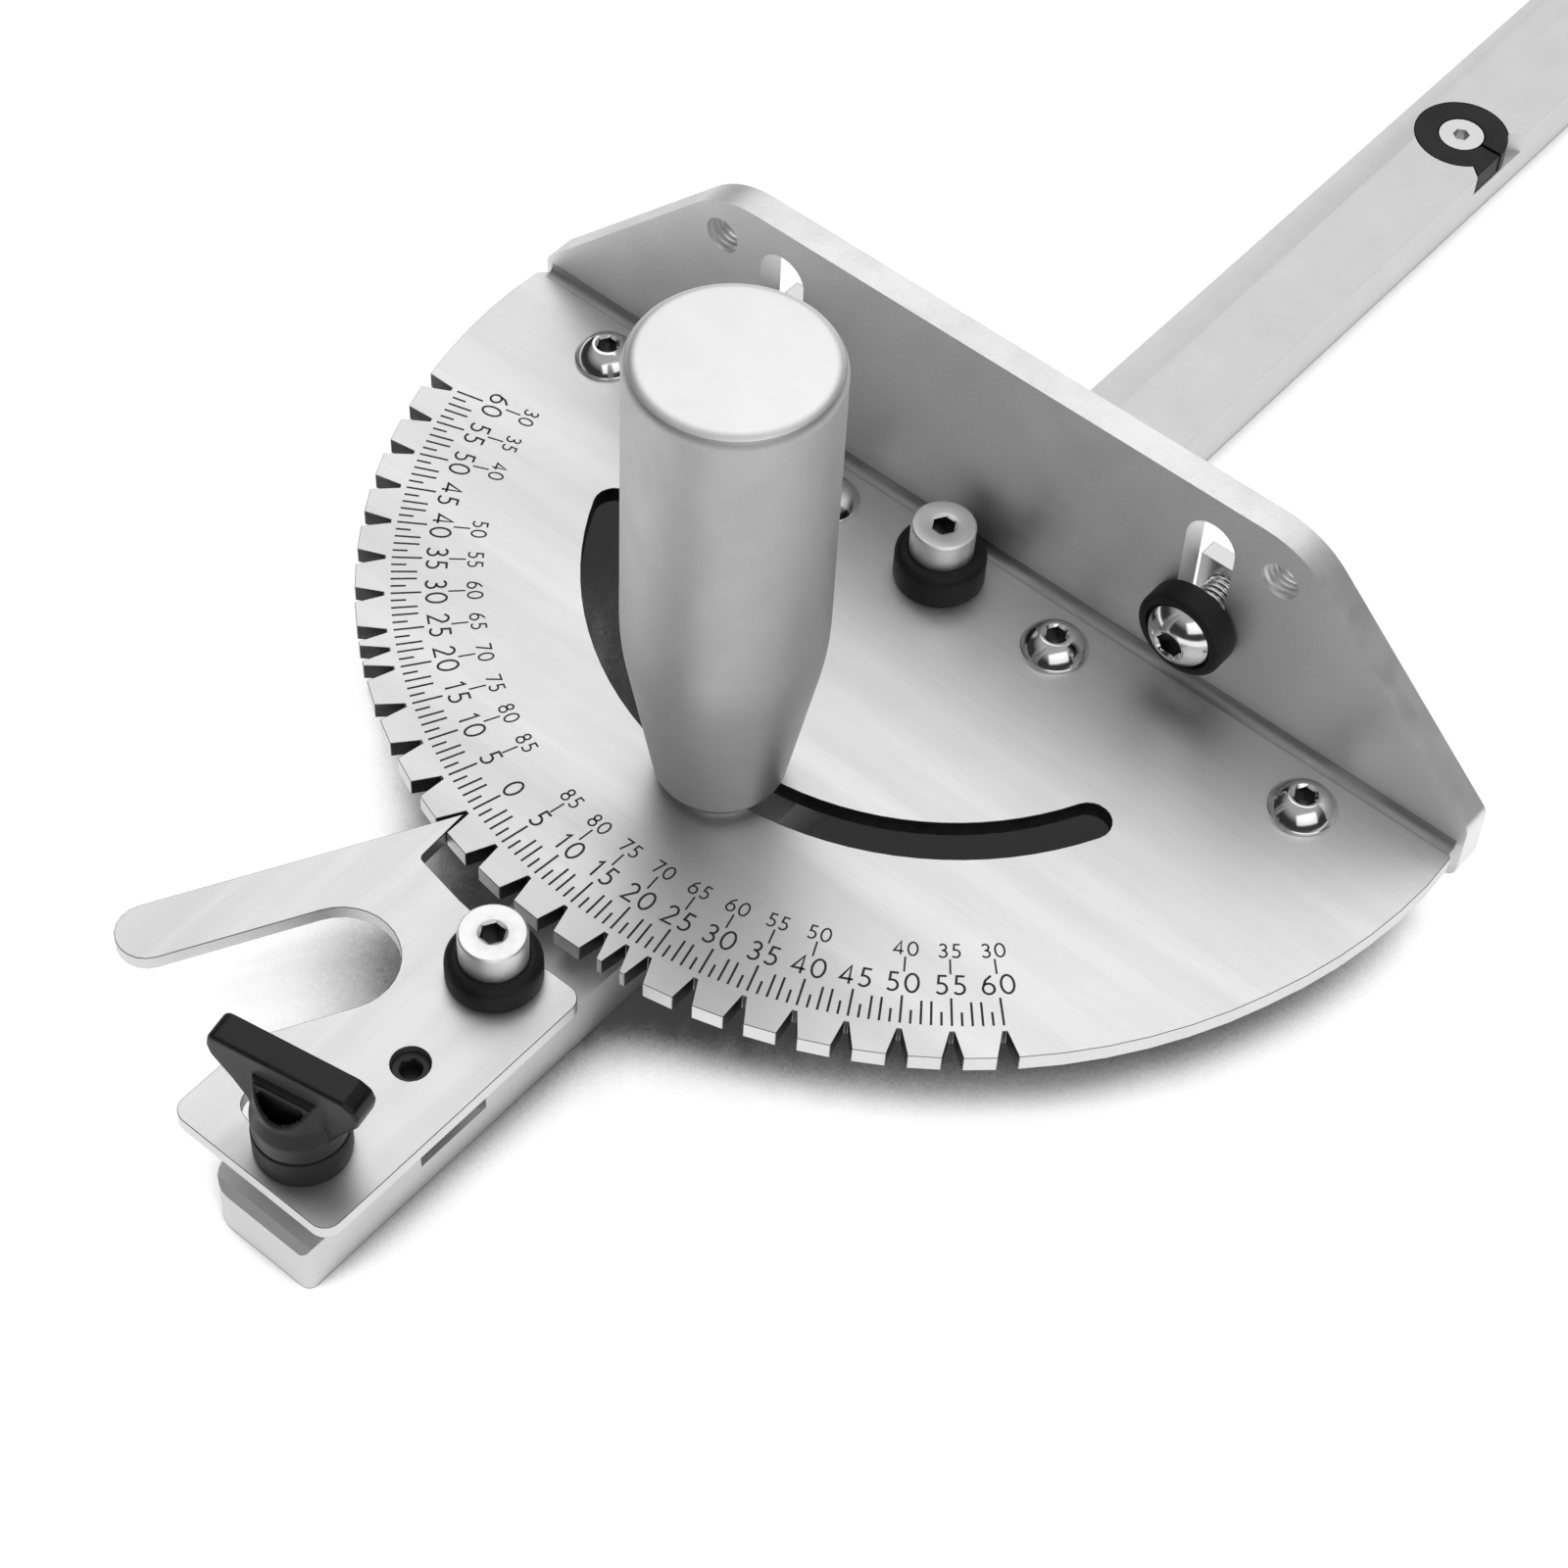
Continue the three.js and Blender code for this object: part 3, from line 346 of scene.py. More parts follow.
def machined(node, body, slot, look, edge, segments=3, painted_shade_walls=None, painted_edge_line=False):
    """The solid's own shape with its flat faces cleaned and its sharp edges broken."""
    bm = bmesh.new()
    bm.from_mesh(frame["nodes"][node].data)
    for vert in bm.verts:
        vert.co = Vector(round(c / MM, 4) * MM for c in vert.co)
    bmesh.ops.remove_doubles(bm, verts=bm.verts, dist=0.002 * MM)
    bmesh.ops.dissolve_limit(bm, angle_limit=math.radians(0.5), verts=bm.verts, edges=bm.edges)
    # Notch and slot walls take the painted-shade look; the outer rim keeps the plate's tone.
    if painted_shade_walls:
        for face in bm.faces:
            face.material_index = 1 if painted_shade_walls(face.calc_center_median() / MM, face.normal) else 0
    obj = new_object(node + "_look", bm, look)
    if painted_shade_walls:
        obj.data.materials.append(LOOKS["cut"])
    # The edge rounding takes the dark edge look, a painted reflection.
    if painted_edge_line:
        obj.data.materials.append(LOOKS["edge"])
    soften(obj, edge, segments, material=len(obj.data.materials) - 1 if painted_edge_line else -1)
    return settle(obj, body, slot, node)


def hexagon_radius(flats, angle):
    sector = math.pi / 3
    return flats / 2 / math.cos((angle % sector) - sector / 2)


def darken_socket(obj):
    """Gives the last rings of a turned screw, its socket, a darker look as painted shade."""
    obj.data.materials.append(LOOKS["socket"])
    facets = len(obj.data.polygons[-1].vertices)
    for polygon in obj.data.polygons[-facets - 2:]:
        polygon.material_index = 1
    return obj


def turned(rings, facets):
    """A body turned about Z. A ring is (radius, height) or (flats, height, "hex")."""
    bm = bmesh.new()
    loops = []
    for ring in rings:
        size, height = ring[0], ring[1]
        loop = []
        for k in range(facets):
            angle = 2 * math.pi * k / facets
            radius = hexagon_radius(size, angle) if len(ring) == 3 else size
            loop.append(bm.verts.new((radius * math.cos(angle) * MM,
                                      radius * math.sin(angle) * MM, height * MM)))
        loops.append(loop)
    for a, b in zip(loops, loops[1:]):
        for k in range(facets):
            n = (k + 1) % facets
            bm.faces.new((a[k], a[n], b[n], b[k]))
    return bm, loops


def closed_turned(name, rings, look, facets=96, sharp_deg=32):
    """As turned(), with a cap on its first and last ring."""
    bm, loops = turned(rings, facets)
    bm.faces.new(loops[0])
    bm.faces.new(loops[-1])
    return new_object(name, bm, look, sharp_deg)


def ring_turned(name, rings, look, facets=96, sharp_deg=32):
    """As turned(), with its last ring joined back to its first."""
    bm, loops = turned(rings, facets)
    first, last = loops[0], loops[-1]
    for k in range(facets):
        n = (k + 1) % facets
        bm.faces.new((last[k], last[n], first[n], first[k]))
    return new_object(name, bm, look, sharp_deg)


def rounded(profile, steps=5):
    """A profile of (radius, height[, fillet]) with its marked corners rounded."""
    out = []
    for i, point in enumerate(profile):
        if len(point) < 3 or not point[2]:
            out.append(tuple(point[:2]))
            continue
        corner = Vector(point[:2])
        back = (Vector(profile[i - 1][:2]) - corner).normalized()
        ahead = (Vector(profile[(i + 1) % len(profile)][:2]) - corner).normalized()
        half = back.angle(ahead) / 2
        reach = point[2] / math.tan(half)
        centre = corner + (back + ahead).normalized() * point[2] / math.sin(half)
        start = corner + back * reach - centre
        turn = start.angle_signed(corner + ahead * reach - centre)
        for k in range(steps + 1):
            moved = Matrix.Rotation(-turn * k / steps, 2) @ start + centre
            out.append((moved.x, moved.y))
    return out


def place(obj, x=0.0, y=0.0, z=0.0, turn=None):
    """Moves a mesh's own points, so that the object's origin stays the gauge's origin."""
    matrix = Matrix.Translation(Vector((x, y, z)) * MM)
    if turn is not None:
        matrix = matrix @ turn
    obj.data.transform(matrix)
    return obj


def centre_of(node):
    low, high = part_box(node)
    return (low + high) / 2 / MM


# ---- Screws ----------------------------------------------------------------------------------

def cap_screw(node, body):
    """Socket cap screw with a dished, chamfered head."""
    low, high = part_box(node)
    mid = centre_of(node)
    bottom, top = low.z / MM, high.z / MM
    seat = top - CAP_HEAD_HEIGHT
    outer = rounded([(SHANK_RADIUS, seat), (CAP_HEAD_RADIUS, seat, 0.2),
                     (CAP_HEAD_RADIUS, top - 0.3, 0.12), (CAP_HEAD_RADIUS - 0.3, top, 0.12),
                     (2.3, top)], 4)
    rings = [(SHANK_RADIUS, bottom), *outer, (2.05, top - 0.08), (CAP_FLATS, top - 0.3, "hex"),
             (CAP_FLATS, top - 3.0, "hex")]
    obj = darken_socket(closed_turned(node + "_look", rings, "head", 96))
    place(obj, mid.x, mid.y)
    return settle(obj, body, "fastener_steel", node)


def button_rings(seat, shank_end, wide=1.0, flats=3.0):
    """Domed head on +Z with its underside at seat."""
    dome = [(wide * across, height) for across, height in
            bow(0, seat - BUTTON_DOME_SINK, BUTTON_DOME_RADIUS, BUTTON_DOME_RADIUS, 25, 63, 10)]
    top = seat + BUTTON_HEAD_HEIGHT
    rim = BUTTON_HEAD_RADIUS * wide
    side = rounded([(SHANK_RADIUS, seat), (rim, seat, 0.12), (rim, seat + 0.5, 0.15), dome[0]])
    mouth = flats / 2
    return [(SHANK_RADIUS, shank_end), (SHANK_RADIUS, seat), *side[1:], *dome,
            (mouth + 0.86, top), (mouth + 0.5, top), (mouth + 0.36, top - 0.1),
            (flats, top - 0.35, "hex"), (flats, top - 2.0, "hex")]


def button_screw(node, body):
    """Button-head screw that stands in the plate, its head on the plate's top."""
    mid = centre_of(node)
    rings = button_rings(PLATE_TOP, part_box(node)[0].z / MM)
    obj = darken_socket(closed_turned(node + "_look", rings, "screw", 96))
    place(obj, mid.x, mid.y)
    return settle(obj, body, "fastener_steel", node)


def threaded(name, low, high, look, facets=40, per_turn=8):
    """A rod with a helical thread, along Z, between two heights."""
    bm = bmesh.new()
    count = int(round((high - low) / THREAD_PITCH * per_turn))
    loops = []
    for i in range(count + 1):
        height = low + (high - low) * i / count
        fade = min(1.0, (height - low) / 0.6, (high - height) / 0.6)
        loop = []
        for k in range(facets):
            angle = 2 * math.pi * k / facets
            phase = (height / THREAD_PITCH - k / facets) % 1.0
            crest = abs(2 * phase - 1)
            depth = THREAD_DEPTH * (1 - min(1.0, crest * 1.25))
            r = THREAD_RADIUS - THREAD_DEPTH * (1 - fade) * 0.9 - depth * fade
            loop.append(bm.verts.new((r * math.cos(angle) * MM, r * math.sin(angle) * MM,
                                      height * MM)))
        loops.append(loop)
    for a, b in zip(loops, loops[1:]):
        for k in range(facets):
            n = (k + 1) % facets
            bm.faces.new((a[k], a[n], b[n], b[k]))
    bm.faces.new(loops[0])
    bm.faces.new(loops[-1])
    return new_object(name, bm, look, 60)


def fence_bolt(side):
    """Button-head bolt with a cut thread, lying along Y with its head at -Y."""
    node = "fence_bolt_" + side
    body = "fence_bolt_" + side[0]
    low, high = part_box(node)
    mid = centre_of(node)
    head_under = low.y / MM + BUTTON_HEAD_HEIGHT
    end = high.y / MM
    turn = Matrix.Rotation(math.pi / 2, 4, "X")
    rings = button_rings(0, -1.2, FENCE_BOLT_WIDEN, FENCE_BOLT_FLATS)
    head = darken_socket(closed_turned(node + "_look", rings, "screw", 96))
    place(head, mid.x, head_under, mid.z, turn)
    settle(head, body, "fastener_steel", node)
    shank = threaded(node + "_thread", head_under - end, -1.25, "screw")
    place(shank, mid.x, head_under, mid.z, turn)
    settle(shank, body, "fastener_steel", node)


# ---- Black rings -----------------------------------------------------------------------------

def collar(node, body, radius, pocket=COLLAR_POCKET):
    """Black ring under a screw or knob; a pocket in its top takes the screw's head."""
    low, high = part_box(node)
    mid = centre_of(node)
    bottom, top = low.z / MM, high.z / MM
    profile = [(BORE_RADIUS, bottom), (radius, bottom, 0.25)]
    if pocket:
        profile += [(radius, top, 1.6), (COLLAR_POCKET_RADIUS, top, 0.12),
                    (COLLAR_POCKET_RADIUS, top - pocket), (BORE_RADIUS, top - pocket)]
    else:
        profile += [(radius, top, 0.35), (BORE_RADIUS, top)]
    obj = ring_turned(node + "_look", rounded(profile), "collar")
    place(obj, mid.x, mid.y)
    return settle(obj, body, "black_plastic", node)


def fence_cap(side):
    """Black cup round the bolt's head, lying along Y with its mouth at -Y."""
    node = "fence_cap_" + side
    low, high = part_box(node)
    mid = centre_of(node)
    length = (high.y - low.y) / MM
    radius = (high.x - low.x) / MM / 2
    profile = [(BORE_RADIUS, 0), (radius, 0, 0.5), (radius, length, 0.9),
               (FENCE_CAP_POCKET, length, 0.12), (FENCE_CAP_POCKET, FENCE_CAP_FLOOR),
               (BORE_RADIUS, FENCE_CAP_FLOOR)]
    obj = ring_turned(node + "_look", rounded(profile), "collar")
    place(obj, mid.x, high.y / MM, mid.z, Matrix.Rotation(math.pi / 2, 4, "X"))
    return settle(obj, "fence_bolt_" + side[0], "black_plastic", node)


# ---- Handle ----------------------------------------------------------------------------------

def handle():
    """Round grip with a waisted foot; its top and the upper half of its top rounding are painted
    lighter than its side, a painted highlight.
    """
    low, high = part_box("handle_grip")
    mid = centre_of("handle_grip")
    bottom, top = low.z / MM, high.z / MM
    radius = (high.x - low.x) / MM / 2
    profile = [(BORE_RADIUS, bottom), (HANDLE_FOOT_RADIUS, bottom, HANDLE_FOOT_ROUND),
               (radius, HANDLE_SHOULDER_HEIGHT, HANDLE_SHOULDER_ROUND),
               (radius, top, HANDLE_TOP_ROUND), (radius * 0.5, top)]
    rings = [(BORE_RADIUS, bottom + HANDLE_BORE_DEPTH), *rounded(profile, FILLET_STEPS)[:-1]]
    obj = closed_turned("handle_grip_look", rings, "handle", HANDLE_FACETS, 40)
    obj.data.materials.append(LOOKS["handle_top"])
    # Painted highlight: the top face and the upper half of its rounding take the lighter top look.
    highlit_faces = FILLET_STEPS // 2 * HANDLE_FACETS + 2
    for polygon in obj.data.polygons[-highlit_faces:]:
        polygon.material_index = 1
    place(obj, mid.x, mid.y)
    return settle(obj, "handle", "handle_aluminium", "handle_grip")


# ---- Wing knob -------------------------------------------------------------------------------

def prism(outline, depth):
    """An outline in X and Z, given some depth along Y, half of it each way."""
    bm = bmesh.new()
    front = [bm.verts.new((x * MM, -depth / 2 * MM, z * MM)) for x, z in outline]
    back = [bm.verts.new((x * MM, depth / 2 * MM, z * MM)) for x, z in outline]
    bm.faces.new(front)
    bm.faces.new(list(reversed(back)))
    for k in range(len(outline)):
        n = (k + 1) % len(outline)
        bm.faces.new((front[k], back[k], back[n], front[n]))
    return bm


def boolean(obj, other, operation):
    """Joins or cuts one piece with another, which is used up."""
    modifier = obj.modifiers.new(operation, "BOOLEAN")
    modifier.operation = operation
    modifier.object = other
    modifier.solver = "EXACT"
    apply_modifiers(obj)
    bpy.data.objects.remove(other)


def wing_knob():
    """Moulded knob: a wing over a round boss, with a slope, a rib and a scoop on each face."""
    low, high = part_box("wing_knob")
    mid = centre_of("knob_collar")
    bottom, top = low.z / MM, high.z / MM
    half = WING_HALF
    left = half + WING_EXTRA_LEFT
    wing = [(-6.0, bottom + 1.5), (6.0, bottom + 1.5), (7.0, bottom + 4.0), (8.9, bottom + 7.0),
            (half - 0.4, top - 4.6), (half, top - 2.8), (half - 0.6, top - 1.0),
            (half - 2.4, top), (-left + 1.2, top + 0.3), (-left + 0.3, top - 0.3),
            (-left, top - 2.4), (-left + 0.5, top - 4.2), (-8.9, bottom + 7.0),
            (-6.8, bottom + 4.0)]
    obj = new_object("wing_knob_look", prism(wing, WING_THICK), "knob", 40)
    soften(obj, 0.6, 3, 30)
    apply_modifiers(obj)
    boss = closed_turned("boss", rounded([(6.7, bottom), (6.7, bottom + 3.4, 2.0),
                                          (5.9, bottom + 6.0, 2.0), (5.7, bottom + 11.4)]),
                         "knob", 64)
    boolean(obj, boss, "UNION")
    slope = [(2.6, bottom + 11.8), (12.0, bottom - 3.0), (12.0, bottom + 14), (2.6, bottom + 14)]
    scoop = bow(0, 0, SCOOP_RADIUS, SCOOP_RADIUS, -41, -139, 20)
    rib = [(-4.1, -3.5), (4.6, -3.5), (4.6, -2.0), (-4.1, -2.0)]
    stand = Matrix.Rotation(math.radians(-90), 4, "X")
    for side in (0, 1):
        turn = Matrix.Rotation(math.pi * side, 4, "Z")
        cutter = new_object("slope", prism(slope, 30), "knob")
        cutter.data.transform(turn @ Matrix.Rotation(math.radians(-90), 4, "Z"))
        boolean(obj, cutter, "DIFFERENCE")
        bar = new_object("rib", prism(rib, 2.2), "knob")
        lift = Matrix.Translation(Vector((0, 0, bottom + RIB_HEIGHT)) * MM)
        bar.data.transform(turn @ lift @ stand)
        boolean(obj, bar, "UNION")
        cutter = new_object("scoop", prism(scoop, 11), "knob")
        lift = Matrix.Translation(Vector((0, 0, bottom + SCOOP_HEIGHT)) * MM)
        cutter.data.transform(turn @ lift @ stand)
        boolean(obj, cutter, "DIFFERENCE")
    cavity = closed_turned("cavity", [(4.3, bottom - 1), (4.3, bottom + 3.0),
                                      (3.3, bottom + 3.4), (3.3, bottom + 10)], "knob", 48)
    boolean(obj, cavity, "DIFFERENCE")
    remesh = obj.modifiers.new("remesh", "REMESH")
    remesh.mode = "VOXEL"
    remesh.voxel_size = MOULDING_VOXEL * MM
    remesh.use_smooth_shade = True
    smooth = obj.modifiers.new("smooth", "SMOOTH")
    smooth.factor = 0.5
    smooth.iterations = 4
    apply_modifiers(obj)
    for polygon in obj.data.polygons:
        polygon.use_smooth = True
    place(obj, mid.x, mid.y, 0, Matrix.Rotation(math.radians(WING_TURN_DEG), 4, "Z"))
    return settle(obj, "knob", "black_plastic", "wing_knob")


def knob_insert():
    """Flanged threaded insert moulded into the knob."""
    low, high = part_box("knob_insert")
    mid = centre_of("knob_insert")
    bottom, top = low.z / MM, high.z / MM
    profile = [(2.95, bottom), (4.2, bottom, 0.2), (4.2, bottom + 2.8, 0.3), (3.2, bottom + 3.2),
               (3.2, top, 0.2), (2.95, top)]
    obj = ring_turned("knob_insert_look", rounded(profile), "brass", 64)
    place(obj, mid.x, mid.y)
    return settle(obj, "knob", "brass", "knob_insert")


# ---- Fence threads ---------------------------------------------------------------------------

def thread_lining(name, x, z):
    """A helical ridge on the wall of a tapped hole through the fence."""
    bm = bmesh.new()
    per_turn = 32
    half_ridge = 0.45
    start = FENCE_FACE_Y + half_ridge
    length = FENCE_BACK_Y - FENCE_FACE_Y - 2 * half_ridge
    count = int(length / THREAD_PITCH * per_turn)
    profile = [(0.12, -half_ridge), (0.12, half_ridge), (-0.42, 0.08), (-0.42, -0.08)]
    loops = []
    for i in range(count + 1):
        angle = 2 * math.pi * i / per_turn
        along = start + length * i / count
        loop = []
        for outward, offset in profile:
            r = BORE_RADIUS + outward
            loop.append(bm.verts.new(((x + r * math.cos(angle)) * MM, (along + offset) * MM,
                                      (z + r * math.sin(angle)) * MM)))
        loops.append(loop)
    size = len(profile)
    for a, b in zip(loops, loops[1:]):
        for k in range(size):
            n = (k + 1) % size
            bm.faces.new((a[k], a[n], b[n], b[k]))
    bm.faces.new(loops[0])
    bm.faces.new(loops[-1])
    obj = new_object(name, bm, "fence", 30)
    return settle(obj, "head", "fence_aluminium")


def fence_root():
    """Concave fillet where the fence's face meets the plate, darker than the fence as painted
    shade.
    """
    low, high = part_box("fence")
    size = ROOT_FILLET
    section = [(0.12, 0.02)] + [(size * (math.sin(t) - 1), size * (1 - math.cos(t)))
                                for t in (math.pi / 2 * k / 8 for k in range(9))] + [(0.12, size)]
    bm = bmesh.new()
    rows = []
    for x in (low.x / MM + 1.2, high.x / MM - 1.2):
        rows.append([bm.verts.new((x * MM, (FENCE_FACE_Y + y) * MM, (PLATE_TOP + z) * MM))
                     for y, z in section])
    for k in range(len(section)):
        n = (k + 1) % len(section)
        bm.faces.new((rows[0][k], rows[0][n], rows[1][n], rows[1][k]))
    bm.faces.new(rows[0])
    bm.faces.new(rows[1])
    obj = new_object("fence_root", bm, "root", 40)
    return settle(obj, "head", "fence_aluminium")


# ---- Scale -----------------------------------------------------------------------------------

def bow(cx, cy, rx, ry, start, end, steps=14):
    """Points on an ellipse, from one angle to another, in degrees anticlockwise from +X."""
    return [(cx + rx * math.cos(math.radians(start + (end - start) * k / steps)),
             cy + ry * math.sin(math.radians(start + (end - start) * k / steps)))
            for k in range(steps + 1)]


# Strokes of each figure in a box 1 high, its foot at 0.
FIGURES = {
    "0": (0.66, [bow(0.33, 0.5, 0.28, 0.47, 0, 360, 28)]),
    "1": (0.42, [[(0.06, 0.80), (0.24, 0.97), (0.24, 0.03)]]),
    "2": (0.58, [bow(0.27, 0.70, 0.22, 0.27, 160, -20, 12) + [(0.05, 0.04), (0.55, 0.04)]]),
    "3": (0.56, [bow(0.25, 0.74, 0.20, 0.22, 150, -80, 12) + [(0.18, 0.52)],
                 bow(0.24, 0.27, 0.24, 0.24, 80, -150, 14)]),
    "4": (0.62, [[(0.44, 0.03), (0.44, 0.97), (0.04, 0.28), (0.60, 0.28)]]),
    "5": (0.56, [[(0.50, 0.96), (0.16, 0.96), (0.13, 0.57)]
                 + bow(0.24, 0.31, 0.25, 0.27, 100, -140, 14)]),
    "6": (0.60, [[(0.46, 0.97), (0.20, 0.74)] + bow(0.30, 0.30, 0.25, 0.27, 150, 490, 24)]),
    "7": (0.56, [[(0.04, 0.96), (0.52, 0.96), (0.20, 0.03)]]),
    "8": (0.58, [bow(0.29, 0.74, 0.19, 0.22, 0, 360, 20), bow(0.29, 0.27, 0.24, 0.25, 0, 360, 24)]),
    "9": (0.60, [[(0.14, 0.03), (0.40, 0.26)] + bow(0.30, 0.70, 0.25, 0.27, -30, -370, 24)]),
}


def add_stroke(bm, points, width, low, high):
    """A closed ribbon of even width along a path of points in X and Y."""
    sides = []
    for i, point in enumerate(points):
        here = Vector(point)
        before = Vector(points[max(0, i - 1)])
        after = Vector(points[min(len(points) - 1, i + 1)])
        ahead = (after - here).normalized() if after != here else (here - before).normalized()
        back = (here - before).normalized() if before != here else ahead
        along = (ahead + back).normalized() if (ahead + back).length > 1e-6 else ahead
        normal = Vector((-along.y, along.x))
        stretch = 1 / max(0.5, abs(along.dot(ahead)))
        offset = normal * width / 2 * stretch
        sides.append((here + offset, here - offset))
    rows = []
    for left, right in sides:
        rows.append([bm.verts.new((p.x * MM, p.y * MM, h * MM))
                     for p, h in ((left, high), (right, high), (right, low), (left, low))])
    for a, b in zip(rows, rows[1:]):
        for k in range(4):
            n = (k + 1) % 4
            bm.faces.new((a[k], a[n], b[n], b[k]))
    bm.faces.new(rows[0])
    bm.faces.new(rows[-1])


def polar(radius, degrees):
    """Degrees from -Y, positive towards +X."""
    angle = math.radians(degrees)
    return Vector((radius * math.sin(angle), -radius * math.cos(angle)))


def add_tick(bm, outer, inner, degrees, width, low, high):
    add_stroke(bm, [polar(outer, degrees)[:], polar(inner, degrees)[:]], width, low, high)


def add_number(bm, text, radius, degrees, height, width, low, high):
    """Figures centred on a radius, with their feet towards the rim."""
    advance = [FIGURES[c][0] for c in text]
    total = sum(advance) + GAP_BETWEEN_FIGURES * (len(text) - 1)
    out = polar(1, degrees)
    right = Vector((-out.y, out.x))
    up = -out
    centre = polar(radius, degrees)
    x = -total / 2
    for char, wide in zip(text, advance):
        for stroke in FIGURES[char][1]:
            points = []
            for px, py in stroke:
                p = centre + right * ((x + px) * height) + up * ((py - 0.5) * height)
                points.append((p.x, p.y))
            add_stroke(bm, points, width, low, high)
        x += wide + GAP_BETWEEN_FIGURES


def scale_marks():
    """Degree lines round the rim, their figures, and the complements on an inner row."""
    bm = bmesh.new()
    low, high = PLATE_TOP - INK_DEPTH, PLATE_TOP + INK_RISE
    for degree in range(-SCALE_LAST, SCALE_LAST + 1):
        step = abs(degree) % 5
        length = TICK_LONG if step == 0 else TICK_MEDIUM if step in (2, 3) else TICK_SHORT
        angle = degree + SCALE_ZERO_DEG
        add_tick(bm, TICK_OUTER, TICK_OUTER - length, angle, TICK_WIDTH, low, high)
        if step:
            continue
        value = abs(degree)
        add_number(bm, str(value), OUTER_DIGIT_RADIUS, angle, OUTER_DIGIT_HEIGHT,
                   OUTER_DIGIT_STROKE, low, high)
        if value not in (0, 45):
            add_number(bm, str(90 - value), INNER_DIGIT_RADIUS, angle, INNER_DIGIT_HEIGHT,
                       INNER_DIGIT_STROKE, low, high)
            add_tick(bm, INNER_TICK_OUT, INNER_TICK_IN, angle, INNER_TICK_WIDTH, low, high)
    obj = new_object("scale_marks", bm, "ink", 30)
    return settle(obj, "head", "black_plastic")


def spring_peg():
    """Peg sunk a little below the lever's face, with a hexagon socket."""
    low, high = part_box("spring_peg")
    mid = centre_of("spring_peg")
    top = high.z / MM - 0.7
    rings = [(2.3, low.z / MM), (2.78, low.z / MM + 0.5), (2.78, top - 0.15), (2.6, top),
             (1.75, top), (3.0, top - 0.25, "hex"), (3.0, top - 2.4, "hex")]
    obj = closed_turned("spring_peg_look", rings, "peg", 96)
    place(obj, mid.x, mid.y)
    return settle(obj, "lever", "black_oxide", "spring_peg")


# ---- Spring ----------------------------------------------------------------------------------

def lever_spring():
    """Bowed leaf in the bar's side pocket."""
    bm = bmesh.new()
    bm.from_mesh(frame["nodes"]["lever_spring"].data)
    bmesh.ops.remove_doubles(bm, verts=bm.verts, dist=0.002 * MM)
    obj = new_object("lever_spring_look", bm, "washer", 60)
    settle(obj, "bar", "fastener_steel", "lever_spring")
    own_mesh(obj)


# ---- The gauge -------------------------------------------------------------------------------

machined("guide_bar", "bar", "bar_aluminium", "bar", 0.4)
machined("riser_block", "bar", "bar_aluminium", "bar", 0.2)
machined("pivot_bushing", "bar", "brass", "brass", 0.15)
machined("lever_bushing", "bar", "brass", "brass", 0.15)
machined("handle_stud", "bar", "fastener_steel", "washer", 0.3)
machined("knob_stud", "bar", "fastener_steel", "washer", 0.3)
machined("handle_washer", "bar", "fastener_steel", "washer", 0.2)
knob_insert()
spring_peg()
for index in (1, 2):
    machined(f"adjuster_disc_{index}", "bar", "black_plastic", "collar", 0.18)
    machined(f"adjuster_screw_{index}", "bar", "fastener_steel", "washer", 0.12)
machined("protractor_plate", "head", "plate_steel", "plate", 0.3, 3, in_plate_cutout, True)
machined("fence", "head", "fence_aluminium", "fence", 0.7, 4)
machined("lever_plate", "lever", "plate_steel", "lever", 0.3, 3, painted_edge_line=True)
for side in ("left", "right"):
    machined(f"fence_nut_{side}", f"fence_bolt_{side[0]}", "fastener_steel", "washer", 0.4)
    fence_cap(side)
    fence_bolt(side)
for index in (1, 2, 3, 4):
    button_screw(f"plate_screw_{index}", "head")
cap_screw("pivot_screw", "bar")
cap_screw("lever_screw", "bar")
collar("pivot_collar", "bar", 7.1)
collar("lever_collar", "bar", 7.0)
collar("knob_collar", "bar", 6.85, pocket=0)
handle()
wing_knob()
scale_marks()
lever_spring()
fence_root()
thread_lining("fence_thread_left", -FENCE_HOLE_X, FENCE_HOLE_Z)
thread_lining("fence_thread_right", FENCE_HOLE_X, FENCE_HOLE_Z)


# ---- Stage -----------------------------------------------------------------------------------

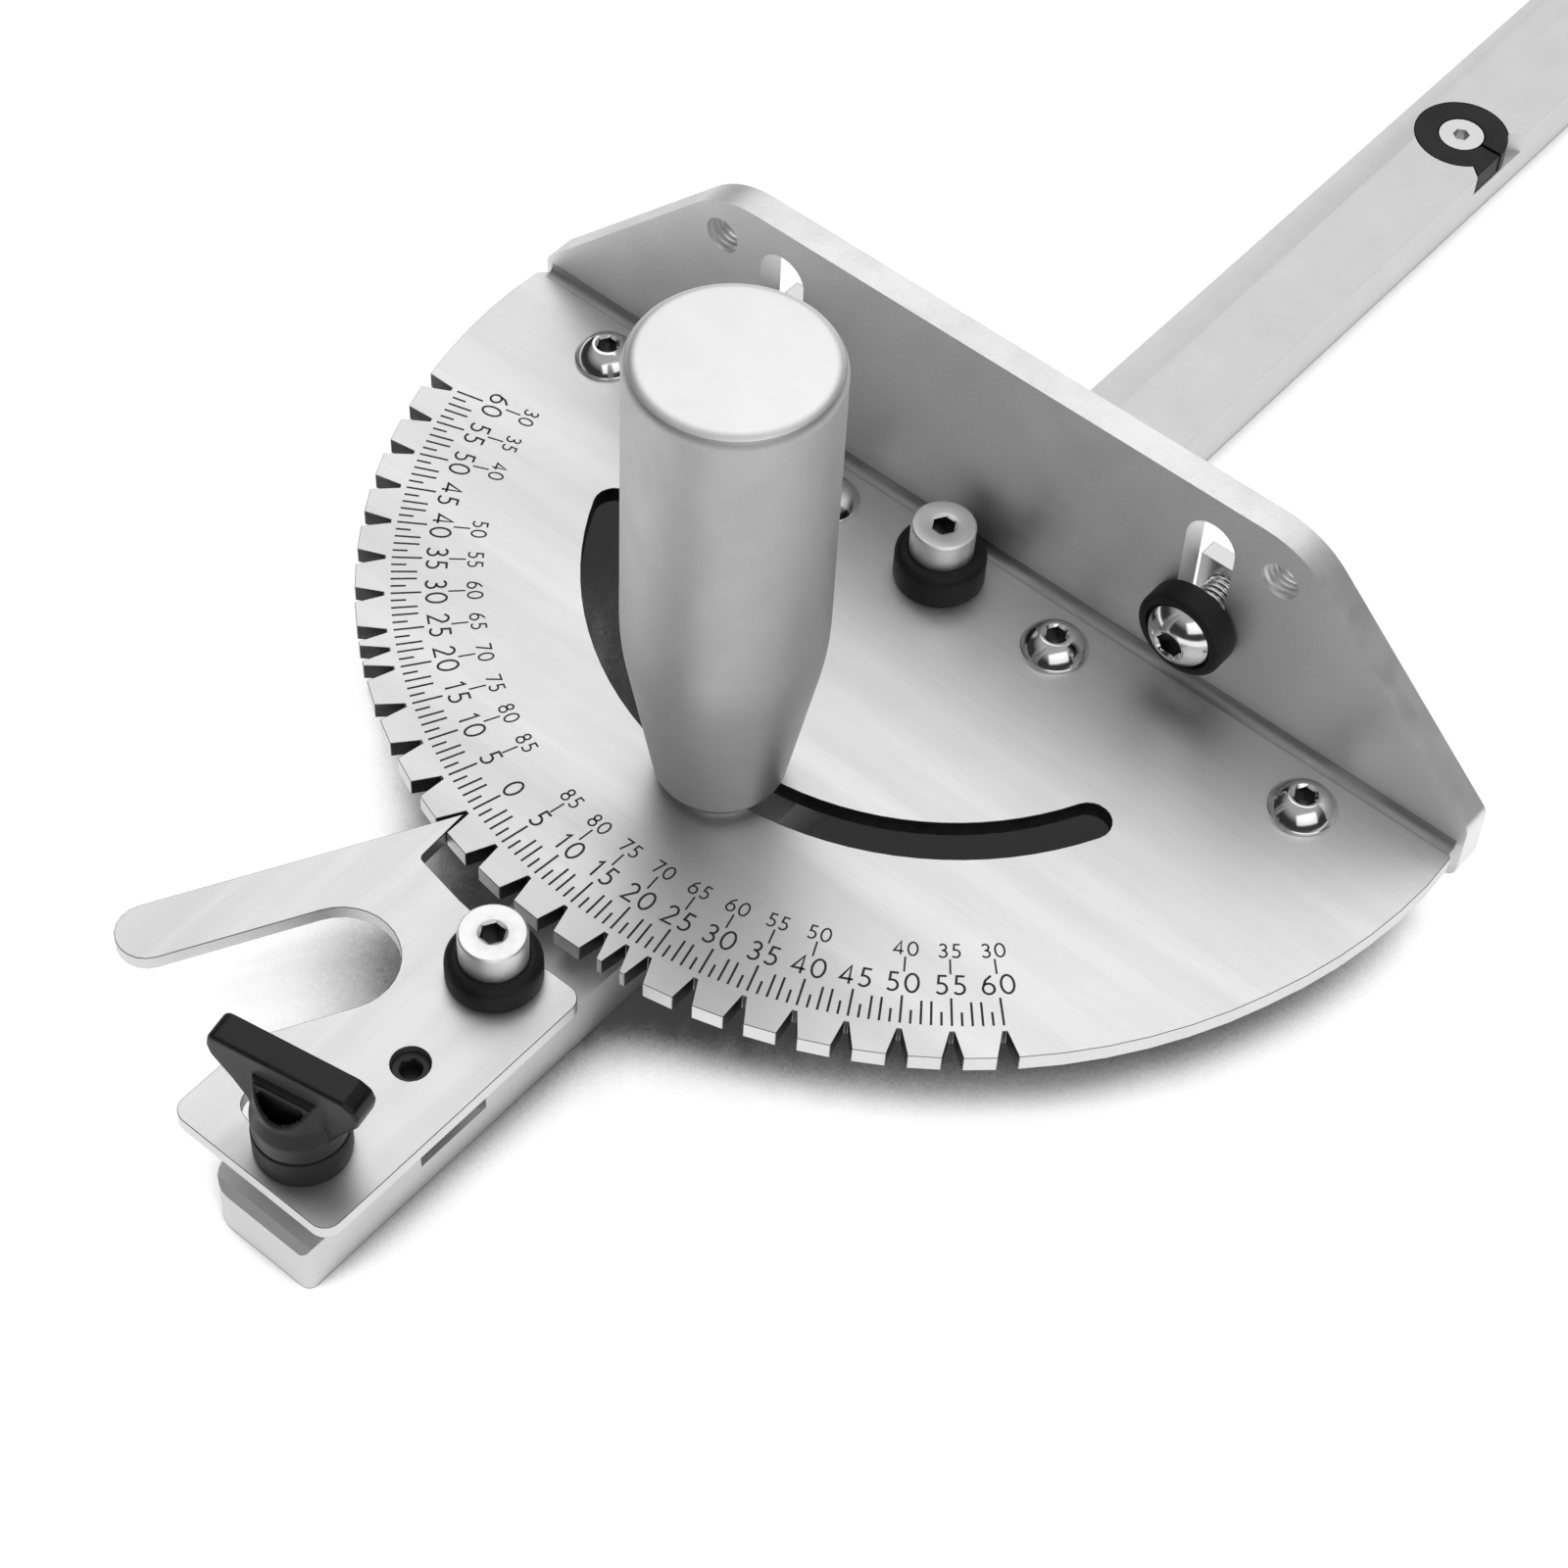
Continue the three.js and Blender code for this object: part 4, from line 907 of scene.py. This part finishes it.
def floor():
    """A wide floor that glows evenly, with a painted contact shadow: its glow dims close under the
    gauge.
    """
    bm = bmesh.new()
    bmesh.ops.create_grid(bm, x_segments=4, y_segments=4, size=FLOOR_HALF)
    mesh = bpy.data.meshes.new("floor")
    bm.to_mesh(mesh)
    bm.free()
    obj = bpy.data.objects.new("floor", mesh)
    obj.location.z = -FLOOR_GAP
    bpy.context.scene.collection.objects.link(obj)
    material, tree, shader = new_material("floor_glow_painted_shadow", (0.1, 0.1, 0.1), 0.0, 0.9)
    shader.inputs["Specular IOR Level"].default_value = 0.1
    shader.inputs["Emission Color"].default_value = (1, 1, 1, 1)
    # Painted shadow: ambient occlusion dims the floor's glow close under the gauge.
    contact_shadow_ao = add_node(tree, "ShaderNodeAmbientOcclusion", samples=16)
    contact_shadow_ao.inputs["Distance"].default_value = CONTACT_SHADOW_REACH
    tree.links.new(spread(tree, contact_shadow_ao.outputs["AO"], 0.02, 1.0, 0.38, 0.58),
                   shader.inputs["Emission Strength"])
    obj.data.materials.append(material)


def area(name, location, size, energy):
    """A rectangular soft light aimed at the head's pivot."""
    light = bpy.data.lights.new(name, "AREA")
    light.shape = "RECTANGLE"
    light.size, light.size_y = size
    light.energy = energy
    obj = bpy.data.objects.new(name, light)
    obj.location = location
    obj.rotation_euler = (-Vector(location)).to_track_quat("-Z", "Y").to_euler()
    bpy.context.scene.collection.objects.link(obj)


def world():
    """Dim towards the horizon and brighter overhead, so that upright faces keep their tone."""
    made = bpy.data.worlds.new("studio")
    made.use_nodes = True
    tree = made.node_tree
    background = tree.nodes["Background"]
    background.inputs["Color"].default_value = (1, 1, 1, 1)
    sky = add_node(tree, "ShaderNodeTexCoord")
    split = add_node(tree, "ShaderNodeSeparateXYZ")
    tree.links.new(sky.outputs["Generated"], split.inputs["Vector"])
    tree.links.new(spread(tree, split.outputs["Z"], 0.03, 0.42, 0.42, 0.78),
                   background.inputs["Strength"])
    bpy.context.scene.world = made


def camera():
    """Close above the gauge's near right side, rolled a little."""
    data = bpy.data.cameras.new("camera")
    data.sensor_width = 36
    data.lens = LENS_MM
    data.clip_start = 0.01
    obj = bpy.data.objects.new("camera", data)
    aim = (Vector(CAMERA_AIM) - Vector(CAMERA_AT)).to_track_quat("-Z", "Y").to_matrix().to_4x4()
    roll = Matrix.Rotation(math.radians(CAMERA_ROLL_DEG), 4, "Z")
    obj.matrix_world = Matrix.Translation(CAMERA_AT) @ aim @ roll
    bpy.context.scene.collection.objects.link(obj)
    bpy.context.scene.camera = obj


floor()
world()
area("overhead", (-0.38, 0.74, 1.15), (1.7, 1.9), 9.6)
area("fill", (0.9, -0.6, 0.85), (1.6, 0.8), 4.0)
camera()
bpy.context.scene.view_settings.view_transform = "Standard"
